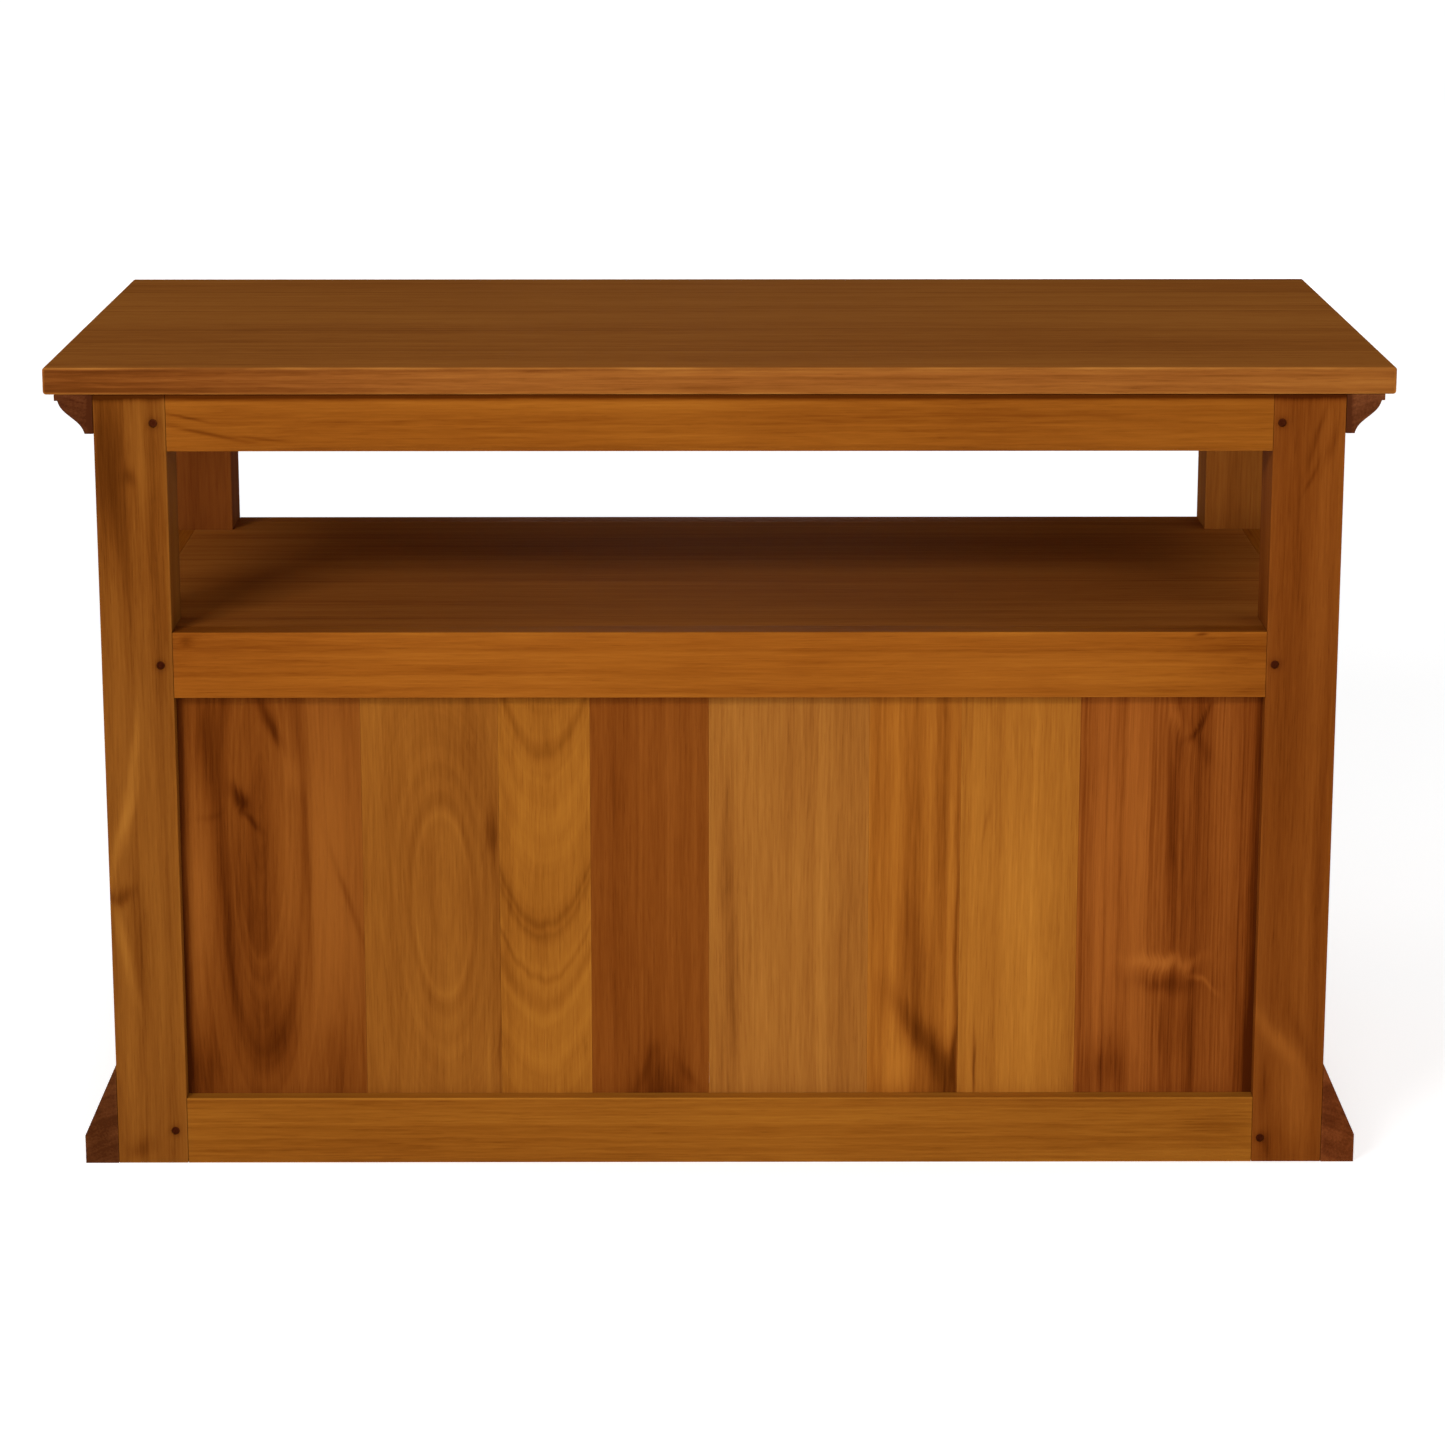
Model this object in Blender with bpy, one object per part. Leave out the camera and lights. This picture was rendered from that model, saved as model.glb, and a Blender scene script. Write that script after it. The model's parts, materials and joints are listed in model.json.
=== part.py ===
"""Solid-wood TV cabinet: a pegged post-and-rail carcass with a media bay, open all round, over a cupboard.

Units are metres and +Z is up. The front faces -Y, and left and right are as seen from the front.
The origin lies on the floor, under the middle of the top board.
"""
import math

import bmesh
import bpy
from mathutils import Matrix, Vector

# Overall form
CABINET_HEIGHT = 0.640
TOP_WIDTH = 1.030
TOP_DEPTH = 0.480
TOP_THICKNESS = 0.021
TOP_ROUNDING = 0.0025
TOP_ROUNDING_STEPS = 4
SIDE_OVERHANG = 0.0375
BACK_OVERHANG = 0.002
FRONT_OVERHANG = 0.033

# Carcass frame
POST_WIDTH = 0.055
POST_DEPTH = 0.055
RAIL_THICKNESS = 0.036
TOP_RAIL_HEIGHT = 0.044
BAY_HEIGHT = 0.142
MIDDLE_RAIL_HEIGHT = 0.052
BACK_BOTTOM_RAIL_HEIGHT = 0.054
BASE_REVEAL = 0.012
ARRIS = 0.0006
ARRIS_STEPS = 2

# Joinery of the carcass
CLEARANCE = 0.0003
FACE_SETBACK = 0.012
TENON_THICKNESS = 0.012
TENON_LENGTH = 0.025
TENON_ROOT = 0.005
PANEL_THICKNESS = 0.012
GROOVE_DEPTH = 0.010
PEG_DIAMETER = 0.006
PEG_LENGTH = 0.030
PEG_SINK = 0.0005
PEG_CHAMFER = 0.0004
PEG_SETBACK_LEFT = 0.0065
PEG_SETBACK_RIGHT = 0.0095
LOW_PEG_DROP = 0.007

# Boards inside
SHELF_THICKNESS = 0.018
SHELF_BEARING = 0.014
FLOOR_THICKNESS = 0.015
FLOOR_BEARING = 0.007

# Crown moulding under the top board
CROWN_HEIGHT = 0.030
CROWN_PROJECTION = 0.029
CROWN_FILLET = 0.0045
CROWN_STEP = 0.0025
CROWN_FOOT = 0.0065
CROWN_SWAY = 0.6
CROWN_CURVE_STEPS = 14

# Plinth round the base
PLINTH_HEIGHT = 0.078
PLINTH_PROJECTION = 0.026
PLINTH_UPRIGHT = 0.023
PLINTH_TIP = 0.0015

# Doors
DOOR_GAP = 0.002
MEETING_GAP = 0.003
DOOR_THICKNESS = 0.020
DOOR_STILE_WIDTH = 0.055
DOOR_RAIL_HEIGHT = 0.055
DOOR_SETBACK = 0.006
DOOR_TENON_THICKNESS = 0.008
DOOR_TENON_LENGTH = 0.030
DOOR_PANEL_THICKNESS = 0.008
DOOR_GROOVE_DEPTH = 0.008

# Turned door knobs
KNOB_DIAMETER = 0.030
KNOB_PROJECTION = 0.027
KNOB_HEAD_LENGTH = 0.016
KNOB_NECK_DIAMETER = 0.013
KNOB_FOOT_DIAMETER = 0.019
KNOB_FOOT_THICKNESS = 0.003
SPIGOT_DIAMETER = 0.010
SPIGOT_LENGTH = 0.014

# Butt hinges
HINGE_HEIGHT = 0.050
HINGE_INSET = 0.035
LEAF_WIDTH = 0.017
LEAF_THICKNESS = 0.0016
LEAF_GAP = 0.0004
PIN_DIAMETER = 0.0036
PIN_HEAD_THICKNESS = 0.0016
KNUCKLE_WALL = 0.0014

# Double magnetic catch, and the room left for a thin strike plate on each door
CATCH_WIDTH = 0.046
CATCH_DEPTH = 0.013
CATCH_HEIGHT = 0.012
STRIKE_ROOM = 0.0018

# Facets of round pieces
ROUND_STEPS = 24
SMALL_ROUND_STEPS = 16
SMOOTH_ANGLE = math.radians(35)

# Places that follow from the sizes above
CUT_MARGIN = 0.001
BODY_HALF = TOP_WIDTH / 2 - SIDE_OVERHANG
BACK = TOP_DEPTH / 2 - BACK_OVERHANG
FRONT = FRONT_OVERHANG - TOP_DEPTH / 2
POST_INNER_X = BODY_HALF - POST_WIDTH
BACK_POST_Y = BACK - POST_DEPTH
FRONT_POST_Y = FRONT + POST_DEPTH
UNDERSIDE = CABINET_HEIGHT - TOP_THICKNESS
FRAME_TOP = UNDERSIDE - CLEARANCE
BAY_CEILING = UNDERSIDE - TOP_RAIL_HEIGHT
SHELF_LEVEL = BAY_CEILING - BAY_HEIGHT
CUPBOARD_CEILING = SHELF_LEVEL - MIDDLE_RAIL_HEIGHT
BASE_RAIL_HEIGHT = PLINTH_HEIGHT + BASE_REVEAL
PANEL_OUTER = FACE_SETBACK + CLEARANCE
PANEL_INNER = PANEL_OUTER + PANEL_THICKNESS
DOOR_LOW = BASE_RAIL_HEIGHT + DOOR_GAP
DOOR_HIGH = CUPBOARD_CEILING - DOOR_GAP
DOOR_BACK = FRONT + DOOR_THICKNESS
KNUCKLE_RADIUS = PIN_DIAMETER / 2 + CLEARANCE + KNUCKLE_WALL
HINGE_X = POST_INNER_X - DOOR_GAP / 2
HINGE_Y = FRONT - KNUCKLE_RADIUS - CLEARANCE
SIDES = {"left": -1, "right": 1}

# Finishes, as linear colour, roughness and metallic value
FRAME_WOOD = ((0.300, 0.098, 0.010), 0.38, 0.0)
PANEL_WOOD = ((0.250, 0.080, 0.012), 0.38, 0.0)
TOP_WOOD = ((0.165, 0.058, 0.010), 0.34, 0.0)
TRIM_WOOD = ((0.130, 0.046, 0.010), 0.40, 0.0)
PEG_WOOD = ((0.030, 0.012, 0.005), 0.55, 0.0)
BRASS = ((0.550, 0.370, 0.130), 0.32, 1.0)
CATCH_PLASTIC = ((0.060, 0.035, 0.020), 0.50, 0.0)


def clear_scene():
    """Remove what the open file holds."""
    for old in list(bpy.data.objects):
        bpy.data.objects.remove(old, do_unlink=True)


def world_origin(obj):
    """World position of an unturned object, summed up its chain of parents."""
    if obj is None:
        return Vector((0.0, 0.0, 0.0))
    return obj.location + world_origin(obj.parent)


def add_object(name, data, origin, parent=None):
    """Link an object whose origin has the given world position."""
    obj = bpy.data.objects.new(name, data)
    bpy.context.scene.collection.objects.link(obj)
    obj.parent = parent
    obj.location = Vector(origin) - world_origin(parent)
    return obj


def add_solid(name, bm, origin, parent=None, smooth=False):
    """Turn a closed bmesh, built round its origin, into an object."""
    bmesh.ops.recalc_face_normals(bm, faces=bm.faces)
    mesh = bpy.data.meshes.new(name)
    bm.to_mesh(mesh)
    bm.free()
    if smooth:
        mesh.shade_smooth()
        mesh.set_sharp_from_angle(angle=SMOOTH_ANGLE)
    return add_object(name, mesh, origin, parent)


def finish(obj, look):
    """Give a piece its own material."""
    colour, roughness, metallic = look
    material = bpy.data.materials.new(obj.name)
    material.use_nodes = True
    shader = material.node_tree.nodes["Principled BSDF"]
    shader.inputs["Base Color"].default_value = (*colour, 1.0)
    shader.inputs["Roughness"].default_value = roughness
    shader.inputs["Metallic"].default_value = metallic
    obj.data.materials.append(material)
    return obj


def block(name, a, b, parent=None, arris=0.0, along="XYZ", steps=ARRIS_STEPS):
    """A box between two opposite corners, with the arrises along the named axes rounded."""
    a, b = Vector(a), Vector(b)
    size = [abs(p - q) for p, q in zip(a, b)]
    bm = bmesh.new()
    bmesh.ops.create_cube(bm, size=1.0)
    bmesh.ops.scale(bm, vec=size, verts=bm.verts)
    if arris:
        chosen = []
        for edge in bm.edges:
            span = edge.verts[0].co - edge.verts[1].co
            longest = max(range(3), key=lambda axis: abs(span[axis]))
            if "XYZ"[longest] in along:
                chosen.append(edge)
        bmesh.ops.bevel(bm, geom=chosen, offset=arris, segments=steps, profile=0.5, affect="EDGES")
    return add_solid(name, bm, (a + b) / 2, parent)


def loft(name, first, last, parent=None, smooth=False):
    """A solid between two outlines that have the same number of points."""
    origin = sum((Vector(p) for p in first + last), Vector()) / (2 * len(first))
    bm = bmesh.new()
    rings = [[bm.verts.new(Vector(p) - origin) for p in outline] for outline in (first, last)]
    for ring in rings:
        bm.faces.new(ring)
    for i in range(len(first)):
        j = (i + 1) % len(first)
        bm.faces.new((rings[0][i], rings[0][j], rings[1][j], rings[1][i]))
    return add_solid(name, bm, origin, parent, smooth)


def turned(name, profile, origin, turn, parent=None, steps=ROUND_STEPS):
    """A turned piece from (radius, height) points, with its axis +Z turned by a matrix."""
    bm = bmesh.new()
    points = [bm.verts.new((radius, 0.0, height)) for radius, height in profile]
    edges = [bm.edges.new(pair) for pair in zip(points, points[1:])]
    bmesh.ops.spin(bm, geom=points + edges, axis=(0, 0, 1), cent=(0, 0, 0),
                   steps=steps, angle=math.tau, use_merge=True)
    bmesh.ops.remove_doubles(bm, verts=bm.verts, dist=CLEARANCE / 100)
    bmesh.ops.transform(bm, matrix=turn, verts=bm.verts)
    return add_solid(name, bm, origin, parent, smooth=True)


def shape_with(owner, tool, operation):
    """Cut a piece with a hidden tool, or join the tool to it."""
    tool.hide_render = True
    tool.display_type = "WIRE"
    modifier = owner.modifiers.new(tool.name, "BOOLEAN")
    modifier.operation = operation
    modifier.solver = "EXACT"
    modifier.object = tool


def grown(a, b, by=CLEARANCE):
    """The corners of a box, moved out on every side."""
    low = Vector([min(p, q) - by for p, q in zip(a, b)])
    high = Vector([max(p, q) + by for p, q in zip(a, b)])
    return low, high


def cut_box(owner, a, b):
    """Cut a box out of a piece."""
    shape_with(owner, block(owner.name + "_cut", a, b, parent=owner), "DIFFERENCE")


def cut_bore(owner, start, direction, radius, depth, steps=SMALL_ROUND_STEPS):
    """Drill a round hole that starts just outside a face and goes in along a direction."""
    turn = Vector((0, 0, 1)).rotation_difference(Vector(direction)).to_matrix().to_4x4()
    profile = [(0, -CUT_MARGIN), (radius, -CUT_MARGIN), (radius, depth), (0, depth)]
    tool = turned(owner.name + "_bore", profile, start, turn, parent=owner, steps=steps)
    shape_with(owner, tool, "DIFFERENCE")


def point(run, along, across, height):
    """A point from its place along a run on X or Y, across the run and above the floor."""
    if run == "X":
        return Vector((along, across, height))
    return Vector((across, along, height))


def tenon(rail, post, run, shoulder, away, across, heights, length):
    """Join a tenon to a rail's end and cut its mortise in the post.

    shoulder is the post's face, and away is the direction along the run into the post.
    """
    root = point(run, shoulder - away * (CLEARANCE + TENON_ROOT), across[0], heights[0])
    tip = point(run, shoulder + away * length, across[1], heights[1])
    shape_with(rail, block(rail.name + "_tenon", root, tip, parent=rail), "UNION")
    cut_box(post, *grown(root, tip))


def framed_panel(name, run, opening, across, depth, frame, parent=None):
    """A panel held in grooves that it cuts in the pieces round an opening.

    opening is (start, stop, low, high) along the run and above the floor.
    """
    start, stop, low, high = opening
    reach = depth - CLEARANCE
    a = point(run, start - reach, across[0], low - reach)
    b = point(run, stop + reach, across[1], high + reach)
    panel = block(name, a, b, parent)
    groove = block(name + "_groove", *grown(a, b), parent=panel)
    for piece in frame:
        shape_with(piece, groove, "DIFFERENCE")
    return panel


def make_posts():
    """Four corner posts."""
    posts = {}
    for side_name, side in SIDES.items():
        for end_name, outer, inner in (("front", FRONT, FRONT_POST_Y), ("back", BACK, BACK_POST_Y)):
            a = (side * BODY_HALF, outer, 0.0)
            b = (side * POST_INNER_X, inner, FRAME_TOP)
            post = block(f"post_{end_name}_{side_name}", a, b, arris=ARRIS)
            posts[end_name, side_name] = finish(post, FRAME_WOOD)
    return posts


def make_rail(name, run, face, inward, heights, ends):
    """A rail flush with its posts' outer faces, with a tenon in the post at each end.

    ends holds, for each end, the post, its face on the run and the direction into it.
    """
    (_, start, _), (_, stop, _) = ends
    low, high = heights
    a = point(run, start + CLEARANCE, face, low)
    b = point(run, stop - CLEARANCE, face + inward * RAIL_THICKNESS, high)
    rail = finish(block(name, a, b, arris=ARRIS, along=run), FRAME_WOOD)
    shoulder = GROOVE_DEPTH + CLEARANCE
    across = (face + inward * FACE_SETBACK, face + inward * (FACE_SETBACK + TENON_THICKNESS))
    for post, end, away in ends:
        tenon(rail, post, run, end, away, across, (low + shoulder, high - shoulder), TENON_LENGTH)
    return rail


def make_rails(posts):
    """Three rails at the back, at the front and at each side."""
    top = (BAY_CEILING, FRAME_TOP)
    middle = (CUPBOARD_CEILING, SHELF_LEVEL)
    base = (0.0, BASE_RAIL_HEIGHT)
    back_base = (0.0, BACK_BOTTOM_RAIL_HEIGHT)
    rails = {}
    for end_name, face, inward, bottom in (("front", FRONT, 1, base), ("back", BACK, -1, back_base)):
        ends = ((posts[end_name, "left"], -POST_INNER_X, -1), (posts[end_name, "right"], POST_INNER_X, 1))
        for level, heights in (("top", top), ("middle", middle), ("bottom", bottom)):
            rails[end_name, level] = make_rail(f"rail_{end_name}_{level}", "X", face, inward, heights, ends)
    for side_name, side in SIDES.items():
        ends = ((posts["front", side_name], FRONT_POST_Y, -1), (posts["back", side_name], BACK_POST_Y, 1))
        for level, heights in (("top", top), ("middle", middle), ("bottom", base)):
            name = f"rail_{side_name}_{level}"
            rails[side_name, level] = make_rail(name, "Y", side * BODY_HALF, -side, heights, ends)
    return rails


def make_panels(posts, rails):
    """A panel under the middle rail at the back and at each side."""
    opening = (-POST_INNER_X, POST_INNER_X, BACK_BOTTOM_RAIL_HEIGHT, CUPBOARD_CEILING)
    across = (BACK - PANEL_OUTER, BACK - PANEL_INNER)
    frame = (posts["back", "left"], posts["back", "right"], rails["back", "middle"], rails["back", "bottom"])
    finish(framed_panel("panel_back", "X", opening, across, GROOVE_DEPTH, frame), PANEL_WOOD)
    opening = (FRONT_POST_Y, BACK_POST_Y, BASE_RAIL_HEIGHT, CUPBOARD_CEILING)
    for side_name, side in SIDES.items():
        across = (side * (BODY_HALF - PANEL_OUTER), side * (BODY_HALF - PANEL_INNER))
        frame = (posts["front", side_name], posts["back", side_name],
                 rails[side_name, "middle"], rails[side_name, "bottom"])
        finish(framed_panel(f"panel_{side_name}", "Y", opening, across, GROOVE_DEPTH, frame), PANEL_WOOD)


def make_pegs(posts, rails):
    """A peg through each tenon of the back rails, a little below the post's face."""
    radius = PEG_DIAMETER / 2
    inward = Matrix.Rotation(math.pi / 2, 4, "X")
    profile = [(0, 0), (radius - PEG_CHAMFER, 0), (radius, PEG_CHAMFER),
               (radius, PEG_LENGTH), (0, PEG_LENGTH)]
    setbacks = {"left": PEG_SETBACK_LEFT, "right": PEG_SETBACK_RIGHT}
    levels = {"top": (BAY_CEILING + FRAME_TOP) / 2,
              "middle": (CUPBOARD_CEILING + SHELF_LEVEL) / 2,
              "bottom": BACK_BOTTOM_RAIL_HEIGHT / 2}
    for side_name, side in SIDES.items():
        for level, height in levels.items():
            drop = LOW_PEG_DROP if (side_name, level) == ("left", "bottom") else 0.0
            mouth = Vector((side * (POST_INNER_X + setbacks[side_name]), BACK, height - drop))
            head = mouth - Vector((0, PEG_SINK, 0))
            peg = turned(f"peg_{level}_{side_name}", profile, head, inward, steps=SMALL_ROUND_STEPS)
            finish(peg, PEG_WOOD)
            for piece in (posts["back", side_name], rails["back", level]):
                cut_bore(piece, mouth, (0, -1, 0), radius + CLEARANCE, PEG_SINK + PEG_LENGTH + CLEARANCE)


def notched_board(name, half_width, front, back, heights):
    """A level board that rests in the rails, notched round the four posts."""
    inner = POST_INNER_X - CLEARANCE
    near = FRONT_POST_Y + CLEARANCE
    far = BACK_POST_Y - CLEARANCE
    right = [(inner, front), (inner, near), (half_width, near),
             (half_width, far), (inner, far), (inner, back)]
    left = [(-x, y) for x, y in reversed(right)]
    low, high = [[(x, y, height) for x, y in right + left] for height in heights]
    return loft(name, low, high)


def make_boards(rails):
    """The top board, the shelf of the media bay and the floor of the cupboard."""
    a = (-TOP_WIDTH / 2, -TOP_DEPTH / 2, UNDERSIDE)
    b = (TOP_WIDTH / 2, TOP_DEPTH / 2, CABINET_HEIGHT)
    finish(block("top_board", a, b, arris=TOP_ROUNDING, steps=TOP_ROUNDING_STEPS), TOP_WOOD)

    half_width = BODY_HALF - RAIL_THICKNESS + SHELF_BEARING - CLEARANCE
    front = FRONT + RAIL_THICKNESS - SHELF_BEARING + CLEARANCE
    back = BACK - RAIL_THICKNESS + SHELF_BEARING - CLEARANCE
    heights = (SHELF_LEVEL - SHELF_THICKNESS, SHELF_LEVEL)
    finish(notched_board("media_shelf", half_width, front, back, heights), TOP_WOOD)
    rebate = grown((-half_width, front, heights[0]), (half_width, back, heights[1]))
    for end_name in ("front", "back", "left", "right"):
        cut_box(rails[end_name, "middle"], *rebate)

    half_width = BODY_HALF - RAIL_THICKNESS + FLOOR_BEARING - CLEARANCE
    back = BACK - PANEL_INNER - CLEARANCE
    heights = (BASE_RAIL_HEIGHT - FLOOR_THICKNESS, BASE_RAIL_HEIGHT)
    finish(notched_board("cupboard_floor", half_width, front, back, heights), PANEL_WOOD)
    rebate = grown((-half_width, front, heights[0]), (half_width, back, heights[1]))
    for rail in (rails["front", "bottom"], rails["left", "bottom"], rails["right", "bottom"]):
        cut_box(rail, *rebate)


def crown_profile():
    """Outline of the crown, as distances out from the carcass and heights above the floor."""
    lip = CROWN_PROJECTION - CROWN_STEP
    fillet_height = FRAME_TOP - CROWN_FILLET
    foot_height = FRAME_TOP - CROWN_HEIGHT
    outline = [(0.0, FRAME_TOP), (CROWN_PROJECTION, FRAME_TOP), (CROWN_PROJECTION, fillet_height)]
    for step in range(CROWN_CURVE_STEPS + 1):
        t = step / CROWN_CURVE_STEPS
        eased = t - CROWN_SWAY * math.sin(math.tau * t) / math.tau
        out = lip + (CROWN_FOOT - lip) * eased
        outline.append((out, fillet_height + (foot_height - fillet_height) * t))
    outline.append((0.0, foot_height))
    return outline


def plinth_profile():
    """Outline of the plinth: an upright foot and a long bevel above it."""
    return [(0.0, 0.0), (PLINTH_PROJECTION, 0.0), (PLINTH_PROJECTION, PLINTH_UPRIGHT),
            (PLINTH_TIP, PLINTH_HEIGHT), (0.0, PLINTH_HEIGHT)]


def make_moulding(name, profile, smooth=False):
    """A moulding along the front and both sides, mitred at the two front corners."""
    wall = BODY_HALF + CLEARANCE
    face = FRONT - CLEARANCE
    ends = [[(side * (wall + out), face - out, height) for out, height in profile] for side in (-1, 1)]
    finish(loft(f"{name}_front", *ends, smooth=smooth), TRIM_WOOD)
    for side_name, side in SIDES.items():
        mitre = [(side * (wall + out), face - out + 2 * CLEARANCE, height) for out, height in profile]
        square = [(side * (wall + out), BACK, height) for out, height in profile]
        finish(loft(f"{name}_{side_name}", mitre, square, smooth=smooth), TRIM_WOOD)


def make_door(side_name, side):
    """A framed and panelled door on an empty that stands on its hinge axis."""
    axis = add_object(f"door_{side_name}_axis", None, (side * HINGE_X, HINGE_Y, (DOOR_LOW + DOOR_HIGH) / 2))
    name = f"door_{side_name}_"
    hinge_edge = side * (POST_INNER_X - DOOR_GAP)
    meeting_edge = side * MEETING_GAP / 2
    hinge_shoulder = hinge_edge - side * DOOR_STILE_WIDTH
    meeting_shoulder = meeting_edge + side * DOOR_STILE_WIDTH

    stiles = {}
    for stile_name, edge, shoulder in (("hinge_stile", hinge_edge, hinge_shoulder),
                                       ("meeting_stile", meeting_edge, meeting_shoulder)):
        a = (edge, FRONT, DOOR_LOW)
        b = (shoulder, DOOR_BACK, DOOR_HIGH)
        stiles[stile_name] = finish(block(name + stile_name, a, b, axis, ARRIS), FRAME_WOOD)

    across = (FRONT + DOOR_SETBACK, FRONT + DOOR_SETBACK + DOOR_TENON_THICKNESS)
    cheek = DOOR_GROOVE_DEPTH + CLEARANCE
    frame = list(stiles.values())
    for rail_name, low in (("top_rail", DOOR_HIGH - DOOR_RAIL_HEIGHT), ("bottom_rail", DOOR_LOW)):
        high = low + DOOR_RAIL_HEIGHT
        a = (hinge_shoulder - side * CLEARANCE, FRONT, low)
        b = (meeting_shoulder + side * CLEARANCE, DOOR_BACK, high)
        rail = finish(block(name + rail_name, a, b, axis, ARRIS, along="X"), FRAME_WOOD)
        heights = (low + cheek, high - cheek)
        tenon(rail, stiles["hinge_stile"], "X", hinge_shoulder, side, across, heights, DOOR_TENON_LENGTH)
        tenon(rail, stiles["meeting_stile"], "X", meeting_shoulder, -side, across, heights, DOOR_TENON_LENGTH)
        frame.append(rail)

    opening = (min(hinge_shoulder, meeting_shoulder), max(hinge_shoulder, meeting_shoulder),
               DOOR_LOW + DOOR_RAIL_HEIGHT, DOOR_HIGH - DOOR_RAIL_HEIGHT)
    panel_face = FRONT + DOOR_SETBACK + CLEARANCE
    across = (panel_face, panel_face + DOOR_PANEL_THICKNESS)
    finish(framed_panel(name + "panel", "X", opening, across, DOOR_GROOVE_DEPTH, frame, axis), PANEL_WOOD)

    make_knob(name + "knob", (meeting_edge + meeting_shoulder) / 2, stiles["meeting_stile"], axis)
    return axis, stiles["hinge_stile"]


def make_knob(name, centre_x, stile, axis):
    """A turned knob whose spigot sits in a hole in the meeting stile."""
    spigot = SPIGOT_DIAMETER / 2
    foot = KNOB_FOOT_DIAMETER / 2
    neck = KNOB_NECK_DIAMETER / 2
    head = KNOB_DIAMETER / 2
    half_length = KNOB_HEAD_LENGTH / 2
    profile = [(0, -SPIGOT_LENGTH), (spigot, -SPIGOT_LENGTH), (spigot, CLEARANCE), (foot, CLEARANCE),
               (foot, KNOB_FOOT_THICKNESS)]
    first = math.asin(neck / head)
    rings = SMALL_ROUND_STEPS
    for ring in range(rings + 1):
        angle = first + (math.pi - first) * ring / rings
        profile.append((head * math.sin(angle), KNOB_PROJECTION - half_length * (1 + math.cos(angle))))
    profile[-1] = (0, KNOB_PROJECTION)
    outward = Matrix.Rotation(math.pi / 2, 4, "X")
    seat = (centre_x, FRONT, (DOOR_LOW + DOOR_HIGH) / 2)
    finish(turned(name, profile, seat, outward, axis), FRAME_WOOD)
    cut_bore(stile, seat, (0, 1, 0), spigot + CLEARANCE, SPIGOT_LENGTH + CLEARANCE)


def make_catch():
    """The magnetic catch under the front middle rail, just behind the doors."""
    face = DOOR_BACK + STRIKE_ROOM
    top = CUPBOARD_CEILING - CLEARANCE
    a = (-CATCH_WIDTH / 2, face, top - CATCH_HEIGHT)
    b = (CATCH_WIDTH / 2, face + CATCH_DEPTH, top)
    finish(block("catch_body", a, b, arris=ARRIS), CATCH_PLASTIC)


def leaf_outline():
    """Plan of a hinge leaf with its knuckle, as places beside the pin's axis and behind it."""
    near = LEAF_GAP / 2
    far = near + LEAF_THICKNESS
    tail = FRONT + LEAF_WIDTH - HINGE_Y
    start = math.acos(near / KNUCKLE_RADIUS)
    stop = math.tau + math.acos(far / KNUCKLE_RADIUS)
    outline = [(far, tail), (near, tail)]
    for step in range(SMALL_ROUND_STEPS + 1):
        angle = start + (stop - start) * step / SMALL_ROUND_STEPS
        outline.append((KNUCKLE_RADIUS * math.cos(angle), KNUCKLE_RADIUS * math.sin(angle)))
    return outline


def make_leaf(name, toward, pin_x, span, gaps, wood, parent=None):
    """A hinge leaf let into a post or a door, with its knuckle cut away at the given gaps.

    toward is the direction from the pin's axis to the wood.
    """
    low, high = span
    outline = [(pin_x + toward * beside, HINGE_Y + behind) for beside, behind in leaf_outline()]
    ends = [[(x, y, height) for x, y in outline] for height in span]
    leaf = finish(loft(name, *ends, parent, smooth=True), BRASS)
    cut_bore(leaf, (pin_x, HINGE_Y, low), (0, 0, 1), PIN_DIAMETER / 2 + CLEARANCE, high - low + CUT_MARGIN)
    reach = KNUCKLE_RADIUS + CUT_MARGIN
    for gap_low, gap_high in gaps:
        cut_box(leaf, (pin_x - reach, HINGE_Y - reach, gap_low), (pin_x + reach, FRONT, gap_high))
    inner = pin_x + toward * LEAF_GAP / 2
    outer = inner + toward * LEAF_THICKNESS
    cut_box(wood, *grown((inner, FRONT, low), (outer, FRONT + LEAF_WIDTH, high)))


def make_hinge(name, side, low, post, stile, axis):
    """A butt hinge: the post's leaf has the outer knuckles and the door's leaf the middle one."""
    high = low + HINGE_HEIGHT
    third = HINGE_HEIGHT / 3
    pin_x = side * HINGE_X
    slack = CLEARANCE / 2
    middle = [(low + third - slack, high - third + slack)]
    outer = [(low - CUT_MARGIN, low + third + slack), (high - third - slack, high + CUT_MARGIN)]
    make_leaf(name + "_post_leaf", side, pin_x, (low, high), middle, post)
    make_leaf(name + "_door_leaf", -side, pin_x, (low, high), outer, stile, axis)
    pin = PIN_DIAMETER / 2
    seat = HINGE_HEIGHT + CLEARANCE
    crest = seat + PIN_HEAD_THICKNESS
    shoulder = seat + PIN_HEAD_THICKNESS / 2
    profile = [(0, 0), (pin, 0), (pin, seat), (KNUCKLE_RADIUS, seat),
               (KNUCKLE_RADIUS, shoulder), (pin, crest), (0, crest)]
    place = (pin_x, HINGE_Y, low)
    finish(turned(name + "_pin", profile, place, Matrix.Identity(4), steps=SMALL_ROUND_STEPS), BRASS)


def main():
    clear_scene()
    posts = make_posts()
    rails = make_rails(posts)
    make_panels(posts, rails)
    make_pegs(posts, rails)
    make_boards(rails)
    make_moulding("crown", crown_profile(), smooth=True)
    make_moulding("plinth", plinth_profile())
    make_catch()
    hinge_feet = {"lower": DOOR_LOW + HINGE_INSET, "upper": DOOR_HIGH - HINGE_INSET - HINGE_HEIGHT}
    for side_name, side in SIDES.items():
        axis, stile = make_door(side_name, side)
        for level, low in hinge_feet.items():
            make_hinge(f"hinge_{side_name}_{level}", side, low, posts["front", side_name], stile, axis)


main()
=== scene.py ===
"""TV cabinet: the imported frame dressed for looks. Metres, in the CAD model's frame."""
import json
import math
from typing import NamedTuple

import bmesh
import bpy
from mathutils import Matrix, Vector

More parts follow.
